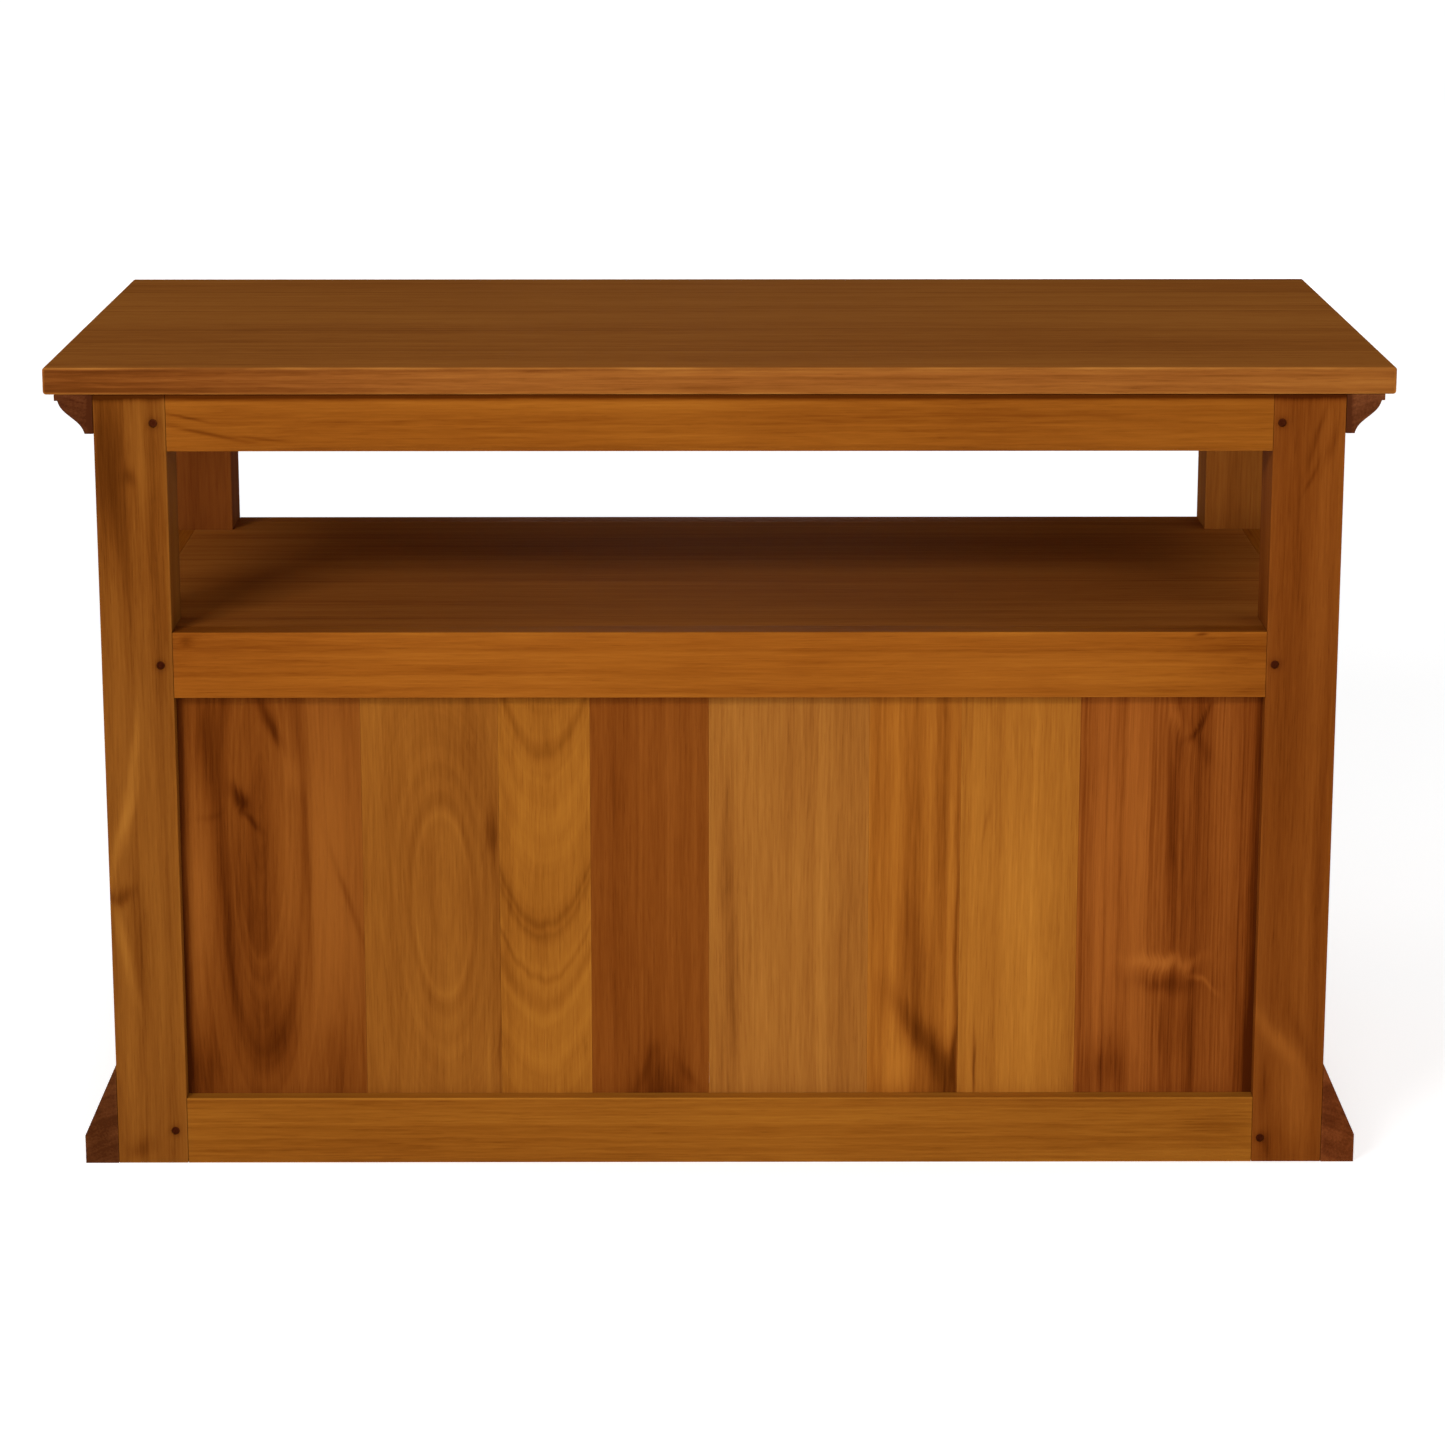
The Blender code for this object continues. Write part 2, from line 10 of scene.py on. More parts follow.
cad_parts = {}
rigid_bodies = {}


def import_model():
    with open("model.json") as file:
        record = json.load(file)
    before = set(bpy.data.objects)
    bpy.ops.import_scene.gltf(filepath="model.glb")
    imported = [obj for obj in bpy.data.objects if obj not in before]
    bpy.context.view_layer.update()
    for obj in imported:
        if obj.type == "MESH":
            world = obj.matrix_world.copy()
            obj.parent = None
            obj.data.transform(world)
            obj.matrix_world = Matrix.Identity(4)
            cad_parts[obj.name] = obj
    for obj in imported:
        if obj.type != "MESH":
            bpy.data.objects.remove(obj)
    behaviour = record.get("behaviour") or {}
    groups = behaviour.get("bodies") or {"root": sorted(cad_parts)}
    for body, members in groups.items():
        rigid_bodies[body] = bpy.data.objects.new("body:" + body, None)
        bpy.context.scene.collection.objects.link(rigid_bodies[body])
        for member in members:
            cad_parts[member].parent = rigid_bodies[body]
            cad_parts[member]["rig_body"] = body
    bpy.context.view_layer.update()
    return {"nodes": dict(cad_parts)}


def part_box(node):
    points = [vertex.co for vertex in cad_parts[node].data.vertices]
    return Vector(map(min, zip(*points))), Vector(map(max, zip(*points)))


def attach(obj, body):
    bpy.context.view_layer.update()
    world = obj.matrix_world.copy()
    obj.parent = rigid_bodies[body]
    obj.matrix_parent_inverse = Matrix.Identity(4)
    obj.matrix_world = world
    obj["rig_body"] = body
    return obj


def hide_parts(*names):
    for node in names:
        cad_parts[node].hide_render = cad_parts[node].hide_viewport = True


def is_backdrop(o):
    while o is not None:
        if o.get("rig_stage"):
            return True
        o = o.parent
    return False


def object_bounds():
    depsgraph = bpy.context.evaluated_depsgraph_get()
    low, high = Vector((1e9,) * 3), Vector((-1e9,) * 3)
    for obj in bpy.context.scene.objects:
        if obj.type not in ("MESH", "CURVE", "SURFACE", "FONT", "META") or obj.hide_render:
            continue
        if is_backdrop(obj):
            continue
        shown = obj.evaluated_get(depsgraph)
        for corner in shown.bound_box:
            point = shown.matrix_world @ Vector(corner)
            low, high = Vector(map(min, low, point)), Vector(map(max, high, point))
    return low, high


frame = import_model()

SIDES = {"left": -1, "right": 1}

# The photograph's view: from behind, a little above
CAMERA_PLACE = (0.0076, 3.146, 1.119)
CAMERA_PITCH = math.radians(77.53)
CAMERA_TURN = math.pi - 0.0033
CAMERA_LENS = 96.5
CAMERA_SENSOR = 36.0
CAMERA_SHIFT = -0.1
CAMERA_REACH = 200.0

# The sky's strength at the horizon and overhead, and the share of it that the front gets
SKY_LOW = 0.04
SKY_HIGH = 0.34
SKY_FRONT = 0.5

# The floor, with a glow that only the camera and reflections see
FLOOR_HALF = 40.0
FLOOR_COLOUR = 0.80
FLOOR_UNEVENNESS = 0.01
FLOOR_FINENESS = (3.0, 3.0, 3.0)
FLOOR_ROUGHNESS = 0.9
FLOOR_GLOW_NEAR = 0.58
FLOOR_GLOW_FAR = 0.88
FLOOR_GLOW_REACH = 6.0

# The lamps, all aimed at one point: place, width and height, watts
LAMP_TARGET = Vector((0.0, 0.0, 0.33))
LAMPS = {
    "back_right": ((1.7, 3.0, 2.20), (1.2, 0.6), 56.0),
    "back_left": ((-1.7, 3.0, 2.20), (1.2, 0.6), 12.0),
    "back_middle": ((0.2, 4.4, 0.60), (1.0, 1.0), 62.0),
    "over_left": ((-1.3, 0.0, 2.20), (0.6, 0.6), 5.0),
    "over_right": ((1.3, 0.0, 2.20), (0.6, 0.6), 3.6),
    "side_left": ((-3.6, 0.6, 0.60), (1.0, 1.0), 32.0),
    "side_right": ((3.6, 0.6, 0.60), (1.0, 1.0), 28.0),
    "front_left": ((-0.3, -8.0, 0.45), (0.8, 0.8), 200.0),
    "front_right": ((0.3, -8.0, 0.45), (0.8, 0.8), 200.0),
}

# Knobs: turned from the door's face outwards
KNOB_SEAT_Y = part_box("door_left_meeting_stile")[0].y
KNOB_HEAD = 0.015
KNOB_HEAD_LENGTH = 0.016
KNOB_NECK = 0.0065
KNOB_FOOT = 0.0095
KNOB_FOOT_THICKNESS = 0.003
KNOB_SPIGOT = 0.005
KNOB_ROUNDING = 0.0008
MID_ARC_SHARE = 0.3
KNOB_RINGS = 28
TURNED_STEPS = 56

# Screw heads; the shares are of the head's radius
SCREW_RADIUS = 0.0029
SCREW_FOOT_SHARE = 0.6
SCREW_CREST_SHARE = 0.92
SCREW_STEPS = 24
SCREW_PROUD = 0.00006
SCREW_DEPTH = 0.0009
SCREW_SLACK = 0.00012
SCREW_TWIST = 1.0
SCREW_TWIST_STEP = 0.9
CROSS_REACH_SHARE = 0.62
CROSS_HALF_WIDTH_SHARE = 0.13
CROSS_DEPTH = 0.0007
CROSS_TAPER = 0.75

# What the screws hold: hinge leaves, the catch with its poles, and the strikes
LEAF_FACE = 0.0002
LEAF_SCREW_INSET = 0.009
LEAF_SCREW_STAGGER = 0.0022
POLE_WIDTH = 0.0018
POLE_PLACES = (0.0075, 0.0145)
POLE_END_GAP = 0.0024
POLE_DEPTH = 0.004
POLE_PROUD = 0.00008
POLE_SLACK = 0.00006
POLE_ARRIS = 0.0002
CATCH_SCREW_X = 0.0185
STRIKE_WIDTH = 0.016
STRIKE_HEIGHT = 0.010
STRIKE_THICKNESS = 0.0012
STRIKE_INSET = 0.003
STRIKE_GAP = 0.0003
STRIKE_DROP = 0.0006
STRIKE_ARRIS = 0.0002

# A reach beyond every piece
ENDLESS = 90.0

# Painted shadow under the top and painted shade at the crowns' ends beside the posts, round the pegs
# and round the back panel, a darker back edge of the top, and painted light on the ledge below the
# panel: how far each reaches and its tone
TOP_SHADE_REACH = 0.0036
PAINTED_SHADE_TONE = -0.75
CROWN_SHADE_WIDTH = 0.0030
PEG_SHADE_RADIUS = 0.0046
PEG_SHADE_TONE = -0.25
PANEL_SIDE_SHADE = 0.0044
PANEL_TOP_SHADE = 0.0030
PANEL_SHADE_TONE = -0.42
TOP_EDGE = 0.0016
LEDGE = 0.0012
LEDGE_TONE = 0.20

# Welding and smooth shading of copied meshes
WELD = 0.000001
SMOOTH_ANGLE = math.radians(35)

# Back panel: where its eight boards meet, from the photograph's left to its right
BOARD_EDGES = (0.4322, 0.2800, 0.1730, 0.1014, 0.0086, -0.1165, -0.1885, -0.2810, -0.4322)
BOARD_JOINT = 0.00001
BOARD_ARRIS = 0.00025

# Seeds of patterns, and what they do to a pattern's place
SEED_STEPS = (7.31, 3.77, 5.13)
SEED_RANGE = 60.0
DOOR_SEED = 30
DOOR_SEED_STEP = 10
PEG_SEED = 50
BOARD_SEED = 60
FLOOR_SEED = 91

# Wood: how fine each pattern is along the grain, across it and into the wood, per metre
DRIFT_FINENESS = (1.5, 7.0, 7.0)
QUIVER_FINENESS = (14.0, 55.0, 55.0)
STREAK_FINENESS = (1.9, 60.0, 60.0)
CLOUD_FINENESS = (3.5, 10.0, 10.0)
FIBRE_FINENESS = (26.0, 560.0, 560.0)
PORE_FINENESS = (48.0, 1500.0, 1500.0)
EDGE_LINE_FINENESS = (1.6, 30.0, 210.0)

# Wood: how fine the broad rings are outwards from the pith, per metre
BAND_RATE = 60.0

# Wood: how far the quiver shifts rings, marks and rubbed edges, in metres
QUIVER_LIFT = 0.0022
QUIVER_ALONG = 0.030
QUIVER_ACROSS = 0.007
QUIVER_EDGE = 0.004

# Wood: tones, roughness and relief
MIDDLE_TONE = 0.5
FIBRE_TONE = 0.36
PORE_LEVEL = 0.17
PORE_TONE = -0.07
SEAM_HALF_WIDTH = 0.0007
SEAM_TONE = -0.22
GLUED_SHIFT_ALONG = 3.17
GLUED_SHIFT_DEEP = 0.23
WEAR_AND_HIGHLIGHT_WIDTH = 0.0011
FACE_SHARPNESS = 8.0
VARNISH_ROUGHNESS = 0.42
FIBRE_ROUGHNESS = 0.20
CLOUD_ROUGHNESS = 0.10
PORE_ROUGHNESS = 0.10
FIBRE_RELIEF = 1.0
RING_RELIEF = 0.5
PORE_RELIEF = -0.6
SEAM_RELIEF = -1.5
WOOD_BUMP = 0.22
WOOD_BUMP_DEPTH = 0.0004

# Metal
TARNISH_FINENESS = (90.0, 90.0, 90.0)
TARNISH_TONE = 1.5
BRUSH_TONE = 0.5
TARNISH_ROUGHNESS = 0.35
BRUSH_ROUGHNESS = 0.15
METAL_BUMP = 0.12

# Moulded plastic
GRIT_FINENESS = (1600.0, 1600.0, 1600.0)
FLOW_FINENESS = (60.0, 60.0, 60.0)
GRIT_TONE = 0.3
FLOW_TONE = 0.8
PLASTIC_LIGHT = 1.35
PLASTIC_DARK = 0.7
PLASTIC_ROUGHNESS = 0.5
GRIT_ROUGHNESS = 0.25
FLOW_ROUGHNESS = 0.1
PLASTIC_SPECULAR = 0.12
PLASTIC_BUMP = 0.25
FINE_BUMP_DEPTH = 0.0001


class Mark(NamedTuple):
    """A knot, streak or pocket in wood.

    tone is how much lighter or darker it is, slope how far it leans across the grain per metre along,
    and lift how far it pushes the growth rings aside.
    """

    along: float
    across: float
    half_length: float
    half_width: float
    tone: float
    slope: float = 0.0
    lift: float = 0.0


class Sketch:
    """Adds nodes to a new material, so that a pattern can be written as a formula."""

    def __init__(self, name, seed):
        self.material = bpy.data.materials.new(name)
        self.material.use_nodes = True
        self.tree = self.material.node_tree
        self.shader = self.tree.nodes["Principled BSDF"]
        self.shift = tuple((seed * step) % SEED_RANGE for step in SEED_STEPS)

    def node(self, kind, **settings):
        made = self.tree.nodes.new(kind)
        for key, value in settings.items():
            setattr(made, key, value)
        return made

    def feed(self, socket, value):
        if isinstance(value, bpy.types.NodeSocket):
            self.tree.links.new(value, socket)
        else:
            socket.default_value = value

    def math(self, operation, *values, clamp=False):
        made = self.node("ShaderNodeMath", operation=operation, use_clamp=clamp)
        for socket, value in zip(made.inputs, values):
            self.feed(socket, value)
        return made.outputs[0]

    def vector(self, operation, *values):
        made = self.node("ShaderNodeVectorMath", operation=operation)
        for socket, value in zip(made.inputs, values):
            self.feed(socket, value)
        return made.outputs["Value" if operation in ("DOT_PRODUCT", "LENGTH") else "Vector"]

    def total(self, first, *terms):
        """first plus each (value, weight) in terms."""
        for value, weight in terms:
            first = self.math("MULTIPLY_ADD", value, weight, first)
        return first

    def split(self, vector):
        made = self.node("ShaderNodeSeparateXYZ")
        self.feed(made.inputs[0], vector)
        return made.outputs

    def join(self, *values):
        made = self.node("ShaderNodeCombineXYZ")
        for socket, value in zip(made.inputs, values):
            self.feed(socket, value)
        return made.outputs[0]

    def noise(self, place, stretch, detail=2.0, roughness=0.5):
        """Noise about zero at place, with a pattern stretch times as fine along each axis."""
        made = self.node("ShaderNodeTexNoise")
        self.feed(made.inputs["Vector"], self.vector("MULTIPLY_ADD", place, stretch, self.shift))
        made.inputs["Scale"].default_value = 1.0
        made.inputs["Detail"].default_value = detail
        made.inputs["Roughness"].default_value = roughness
        return self.math("SUBTRACT", made.outputs[0], 0.5)

    def bands(self, distance, fineness, detail=3.0, roughness=0.6):
        """Uneven bands about zero along a distance."""
        made = self.node("ShaderNodeTexNoise", noise_dimensions="1D")
        self.feed(made.inputs["W"], self.math("MULTIPLY_ADD", distance, fineness, self.shift[0]))
        made.inputs["Scale"].default_value = 1.0
        made.inputs["Detail"].default_value = detail
        made.inputs["Roughness"].default_value = roughness
        return self.math("SUBTRACT", made.outputs[0], 0.5)

    def bell(self, square):
        """1 where square is 0, falling off smoothly."""
        return self.math("EXPONENT", self.math("MULTIPLY", square, -1.0))

    def ramp(self, value, stops):
        made = self.node("ShaderNodeValToRGB")
        made.color_ramp.interpolation = "B_SPLINE"
        elements = made.color_ramp.elements
        while len(elements) < len(stops):
            elements.new(1.0)
        for element, (place, colour) in zip(elements, stops):
            element.position = place
            element.color = (*colour, 1.0)
        self.feed(made.inputs[0], value)
        return made.outputs[0]

    def bump(self, height, strength, distance):
        made = self.node("ShaderNodeBump")
        made.inputs["Strength"].default_value = strength
        made.inputs["Distance"].default_value = distance
        self.feed(made.inputs["Height"], height)
        self.feed(self.shader.inputs["Normal"], made.outputs[0])


def wood_stops(tint):
    """Five steps from the darkest to the lightest wood around a tint."""
    scales = (
        (0.06, (0.30, 0.22, 0.20)),
        (0.30, (0.68, 0.58, 0.55)),
        (0.50, (1.00, 1.00, 1.00)),
        (0.70, (1.26, 1.38, 1.45)),
        (0.96, (1.62, 1.95, 2.20)),
    )
    return [(place, tuple(t * s for t, s in zip(tint, scale))) for place, scale in scales]


def wood(
    name, layout, tint, seed, box, pith=(0.30, 0.10, 0.0), lean=(0.0, 0.0), wander=0.012,
    band=0.35, ring=0.14, streak=0.35, blotch=0.32, ring_rate=300.0, marks=(), accents=(), tone_patches=(),
    boards=None, end=-0.26, edge_grain=0.0, wear_and_highlight=0.07, lustre=0.02,
):
    """Varnished wood as a solid pattern.

    layout names the axes along the grain, across it and into the wood, such as "zxy". pith is the
    tree's heart as places across, into and along, and lean is how far it moves across and into the
    wood per metre along. wander is how far the grain strays. band, ring, streak and blotch are the
    strengths of broad rings, fine rings, colour streaks and clouds. marks are knots and streaks,
    accents are single growth rings (radius, half width, tone), and tone_patches have even edges
    (centre, reach along x, y and z, tone); on some pieces they are painted shade or painted light.
    boards is (first edge, width, spread of tones) where one solid shows several glued boards. end
    is the tone that end grain adds, wear_and_highlight the tone of lighter edges (wear, and on the
    top board a painted highlight), edge_grain the strength of lines on a board's edge, and lustre
    a slight sheen in the wood.
    """
    s = Sketch(name, seed)
    coordinates = s.node("ShaderNodeTexCoord")
    axes = dict(zip("xyz", s.split(coordinates.outputs["Object"])))
    along, across, deep = (axes[letter] for letter in layout)
    tone = MIDDLE_TONE
    seam = None
    if boards:
        first, width, spread = boards
        position = s.math("MULTIPLY_ADD", across, 1.0 / width, -first / width)
        number = s.math("FLOOR", position)
        dice = s.node("ShaderNodeTexWhiteNoise", noise_dimensions="1D")
        s.feed(dice.inputs["W"], s.math("ADD", number, seed))
        chance = dice.outputs["Value"]
        tone = s.math("MULTIPLY_ADD", chance, spread, MIDDLE_TONE - spread / 2)
        along = s.math("MULTIPLY_ADD", number, GLUED_SHIFT_ALONG, along)
        deep = s.math("MULTIPLY_ADD", chance, GLUED_SHIFT_DEEP, deep)
        inside = s.math("PINGPONG", position, 0.5)
        seam = s.bell(s.math("POWER", s.math("MULTIPLY", inside, width / SEAM_HALF_WIDTH), 2.0))

    # Grain that wanders, and a finer unevenness for marks and rings
    place = s.join(along, across, deep)
    drift = s.noise(place, DRIFT_FINENESS)
    across = s.math("MULTIPLY_ADD", drift, wander, across)
    place = s.join(along, across, deep)
    quiver = s.noise(place, QUIVER_FINENESS)

    # Knots, streaks and pockets, one at a time
    lift = s.math("MULTIPLY", quiver, QUIVER_LIFT)
    uneven_along = s.math("MULTIPLY_ADD", quiver, QUIVER_ALONG, along)
    uneven_across = s.math("MULTIPLY_ADD", quiver, QUIVER_ACROSS, across)
    uneven = s.join(uneven_along, uneven_across, 0.0)
    for mark in marks:
        offset = s.vector("SUBTRACT", uneven, (mark.along, mark.across, 0.0))
        length, width, _ = s.split(offset)
        if mark.slope:
            width = s.math("MULTIPLY_ADD", length, -mark.slope, width)
        shares = (1 / mark.half_length, 1 / mark.half_width, 0.0)
        scaled = s.vector("MULTIPLY", s.join(length, width, 0.0), shares)
        spot = s.bell(s.vector("DOT_PRODUCT", scaled, scaled))
        tone = s.total(tone, (spot, mark.tone))
        if mark.lift:
            lift = s.total(lift, (spot, mark.lift))

    # Growth rings round the pith
    heart_across, heart_deep, heart_along = pith
    lean_across, lean_deep = lean
    run = s.math("SUBTRACT", along, heart_along)
    aside = s.math("SUBTRACT", s.math("MULTIPLY_ADD", run, -lean_across, across), heart_across)
    below = s.math("SUBTRACT", s.math("MULTIPLY_ADD", run, -lean_deep, deep), heart_deep)
    radius = s.math("ADD", s.vector("LENGTH", s.join(aside, below, 0.0)), lift)
    broad = s.bands(radius, BAND_RATE)
    fine = s.bands(radius, ring_rate, detail=2.0)
    for ring_radius, half_width, ring_tone in accents:
        off = s.math("MULTIPLY_ADD", radius, 1 / half_width, -ring_radius / half_width)
        tone = s.total(tone, (s.bell(s.math("POWER", off, 2.0)), ring_tone))

    # Colour streaks, clouds, fibres and pores
    streaks = s.noise(place, STREAK_FINENESS, detail=3.0, roughness=0.6)
    clouds = s.noise(place, CLOUD_FINENESS)
    fibres = s.noise(place, FIBRE_FINENESS, detail=3.0, roughness=0.6)
    pores = s.math("GREATER_THAN", s.noise(place, PORE_FINENESS, detail=1.0), PORE_LEVEL)
    tone = s.total(tone, (broad, band), (fine, ring), (streaks, streak), (clouds, blotch))
    tone = s.total(tone, (fibres, FIBRE_TONE), (pores, PORE_TONE))
    if seam:
        tone = s.total(tone, (seam, SEAM_TONE))
    # Even-edged tone patches: painted shade and painted light on some pieces, plain colour on others
    for centre, reach, patch_tone in tone_patches:
        offset = s.vector("SUBTRACT", coordinates.outputs["Object"], centre)
        scaled = s.vector("DIVIDE", offset, reach)
        tone = s.total(tone, (s.bell(s.vector("DOT_PRODUCT", scaled, scaled)), patch_tone))

    # End grain drinks the stain, and the edges are lighter: wear from handling, and on the top board mostly
    # a painted highlight along the arris
    normal = dict(zip("xyz", s.split(coordinates.outputs["Normal"])))
    cross_cut = s.math("POWER", s.math("ABSOLUTE", normal[layout[0]]), FACE_SHARPNESS)
    tone = s.total(tone, (cross_cut, end))
    if edge_grain:
        beside = s.math("POWER", s.math("ABSOLUTE", normal[layout[1]]), FACE_SHARPNESS)
        lines = s.noise(place, EDGE_LINE_FINENESS)
        tone = s.total(tone, (s.math("MULTIPLY", beside, lines), edge_grain))
    low, high = box
    gaps = []
    for letter, least, most in zip("xyz", low, high):
        middle = s.math("SUBTRACT", axes[letter], (least + most) / 2)
        gaps.append(s.math("SUBTRACT", (most - least) / 2, s.math("ABSOLUTE", middle)))
    lesser = s.math("MINIMUM", gaps[0], gaps[1])
    greater = s.math("MAXIMUM", gaps[0], gaps[1])
    edge = s.math("MAXIMUM", lesser, s.math("MINIMUM", greater, gaps[2]))
    edge = s.math("MULTIPLY_ADD", quiver, QUIVER_EDGE, edge)
    wear_and_highlight_mask = s.bell(s.math("POWER", s.math("MULTIPLY", edge, 1 / WEAR_AND_HIGHLIGHT_WIDTH), 2.0))
    tone = s.total(tone, (wear_and_highlight_mask, wear_and_highlight))

    s.feed(s.shader.inputs["Base Color"], s.ramp(tone, wood_stops(tint)))
    gloss = s.total(VARNISH_ROUGHNESS, (fibres, FIBRE_ROUGHNESS), (clouds, CLOUD_ROUGHNESS))
    gloss = s.total(gloss, (pores, PORE_ROUGHNESS))
    s.feed(s.shader.inputs["Roughness"], s.math("ADD", gloss, 0.0, clamp=True))
    s.shader.inputs["Specular IOR Level"].default_value = 0.0
    s.shader.inputs["Metallic"].default_value = lustre
    height = s.total(0.0, (fibres, FIBRE_RELIEF), (fine, RING_RELIEF), (pores, PORE_RELIEF))
    if seam:
        height = s.total(height, (seam, SEAM_RELIEF))
    s.bump(height, WOOD_BUMP, WOOD_BUMP_DEPTH)
    return s.material


def metal(name, bright, dull, seed, rough, brushed):
    """Brushed metal with an uneven, slightly aged surface. brushed is the pattern's fineness per axis."""
    s = Sketch(name, seed)
    place = s.node("ShaderNodeTexCoord").outputs["Object"]
    tarnish = s.noise(place, TARNISH_FINENESS, detail=4.0, roughness=0.65)
    lines = s.noise(place, brushed, detail=2.0)
    age = s.total(MIDDLE_TONE, (tarnish, TARNISH_TONE), (lines, BRUSH_TONE))
    s.feed(s.shader.inputs["Base Color"], s.ramp(age, [(0.15, dull), (0.55, bright), (0.9, bright)]))
    dullness = s.total(rough, (tarnish, TARNISH_ROUGHNESS), (lines, BRUSH_ROUGHNESS))
    s.feed(s.shader.inputs["Roughness"], dullness)
    s.shader.inputs["Metallic"].default_value = 1.0
    s.bump(lines, METAL_BUMP, FINE_BUMP_DEPTH)
    return s.material


def moulded(name, colour, seed):
    """Matt moulded plastic with a fine sparked texture."""
    s = Sketch(name, seed)
    place = s.node("ShaderNodeTexCoord").outputs["Object"]
    grit = s.noise(place, GRIT_FINENESS, detail=1.0)
    flow = s.noise(place, FLOW_FINENESS)
    light = tuple(value * PLASTIC_LIGHT for value in colour)
    dark = tuple(value * PLASTIC_DARK for value in colour)
    tone = s.total(MIDDLE_TONE, (flow, FLOW_TONE), (grit, GRIT_TONE))
    s.feed(s.shader.inputs["Base Color"], s.ramp(tone, [(0.2, dark), (0.8, light)]))
    dullness = s.total(PLASTIC_ROUGHNESS, (grit, GRIT_ROUGHNESS), (flow, FLOW_ROUGHNESS))
    s.feed(s.shader.inputs["Roughness"], dullness)
    s.shader.inputs["Specular IOR Level"].default_value = PLASTIC_SPECULAR
    s.bump(grit, PLASTIC_BUMP, FINE_BUMP_DEPTH)
    return s.material


def dress(node, material):
    """Gives a CAD node one material."""
    slots = frame["nodes"][node].data.materials
    slots.clear()
    slots.append(material)


def add_piece(name, mesh, material, body):
    """Links a finished mesh as a piece that moves with a body."""
    mesh.materials.append(material)
    piece = bpy.data.objects.new(name, mesh)
    bpy.context.scene.collection.objects.link(piece)
    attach(piece, body)
    return piece


def board_mesh(name, low, high, arris):
    """A board with its edges eased."""
    shape = bmesh.new()
    bmesh.ops.create_cube(shape, size=1.0)
    centre = (low + high) / 2
    size = high - low
    for vertex in shape.verts:
        vertex.co = centre + Vector(value * extent for value, extent in zip(vertex.co, size))
    bmesh.ops.bevel(shape, geom=shape.edges[:], offset=arris, segments=2, profile=0.5, affect="EDGES")
    mesh = bpy.data.meshes.new(name)
    shape.to_mesh(mesh)
    shape.free()
    return mesh


def smoothed(mesh):
    """Shades a mesh smooth between its sharp edges."""
    mesh.shade_smooth()
    mesh.set_sharp_from_angle(angle=SMOOTH_ANGLE)
    return mesh


def finished_mesh(name, shape):
    """Closes a bmesh into a smooth mesh with its faces pointing out."""
    bmesh.ops.recalc_face_normals(shape, faces=shape.faces[:])
    mesh = bpy.data.meshes.new(name)
    shape.to_mesh(mesh)
    shape.free()
    return smoothed(mesh)


def welded_mesh(node):
    """A copy of a CAD node's mesh with its corners joined, so that it can shade smooth."""
    source = frame["nodes"][node].data
    shape = bmesh.new()
    corners = [shape.verts.new(vertex.co) for vertex in source.vertices]
    for face in source.polygons:
        shape.faces.new([corners[index] for index in face.vertices])
    bmesh.ops.remove_doubles(shape, verts=shape.verts[:], dist=WELD)
    return finished_mesh(node, shape)


def stand_in(node, ending, mesh):
    """Shows a finer mesh in place of a CAD node, on the same body and with the same finish."""
    solid = frame["nodes"][node]
    piece = add_piece(f"{node}_{ending}", mesh, solid.data.materials[0], solid["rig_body"])
    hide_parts(node)


def ring_of(shape, radius, height, steps, place):
    """A ring of points round place's own z axis."""
    points = []
    for step in range(steps):
        angle = math.tau * step / steps
        point = Vector((radius * math.cos(angle), radius * math.sin(angle), height))
        points.append(shape.verts.new(place @ point))
    return points


def bridge(shape, lower, upper):
    """Faces between two rings of as many points."""
    for step, (first, above) in enumerate(zip(lower, upper)):
        after = (step + 1) % len(lower)
        shape.faces.new((first, lower[after], upper[after], above))


def turned_mesh(name, profile, place, steps):
    """A solid turned from (radius, height) points that start and end on place's z axis."""
    shape = bmesh.new()
    start = shape.verts.new(place @ Vector((0.0, 0.0, profile[0][1])))
    finish = shape.verts.new(place @ Vector((0.0, 0.0, profile[-1][1])))
    rings = [ring_of(shape, radius, height, steps, place) for radius, height in profile[1:-1]]
    for lower, upper in zip(rings, rings[1:]):
        bridge(shape, lower, upper)
    for tip, ring in ((start, rings[0]), (finish, rings[-1])):
        for step in range(steps):
            shape.faces.new((tip, ring[step], ring[(step + 1) % steps]))
    return finished_mesh(name, shape)


def cut(mesh, tools):
    """mesh with the volumes of a bmesh cut away."""
    cutter = bpy.data.meshes.new("cutter")
    tools.to_mesh(cutter)
    tools.free()
    pair = [bpy.data.objects.new(data.name, data) for data in (mesh, cutter)]
    for item in pair:
        bpy.context.scene.collection.objects.link(item)
    body, tool = pair
    body.modifiers.new("cut", "BOOLEAN").object = tool
    result = bpy.data.meshes.new_from_object(body.evaluated_get(bpy.context.evaluated_depsgraph_get()))
    for item in pair:
        bpy.data.objects.remove(item)
    return smoothed(result)


def facing(point, direction):
    """A placing whose z axis runs along direction from point."""
    turn = Vector(direction).to_track_quat("Z", "Y").to_matrix().to_4x4()
    return Matrix.Translation(point) @ turn


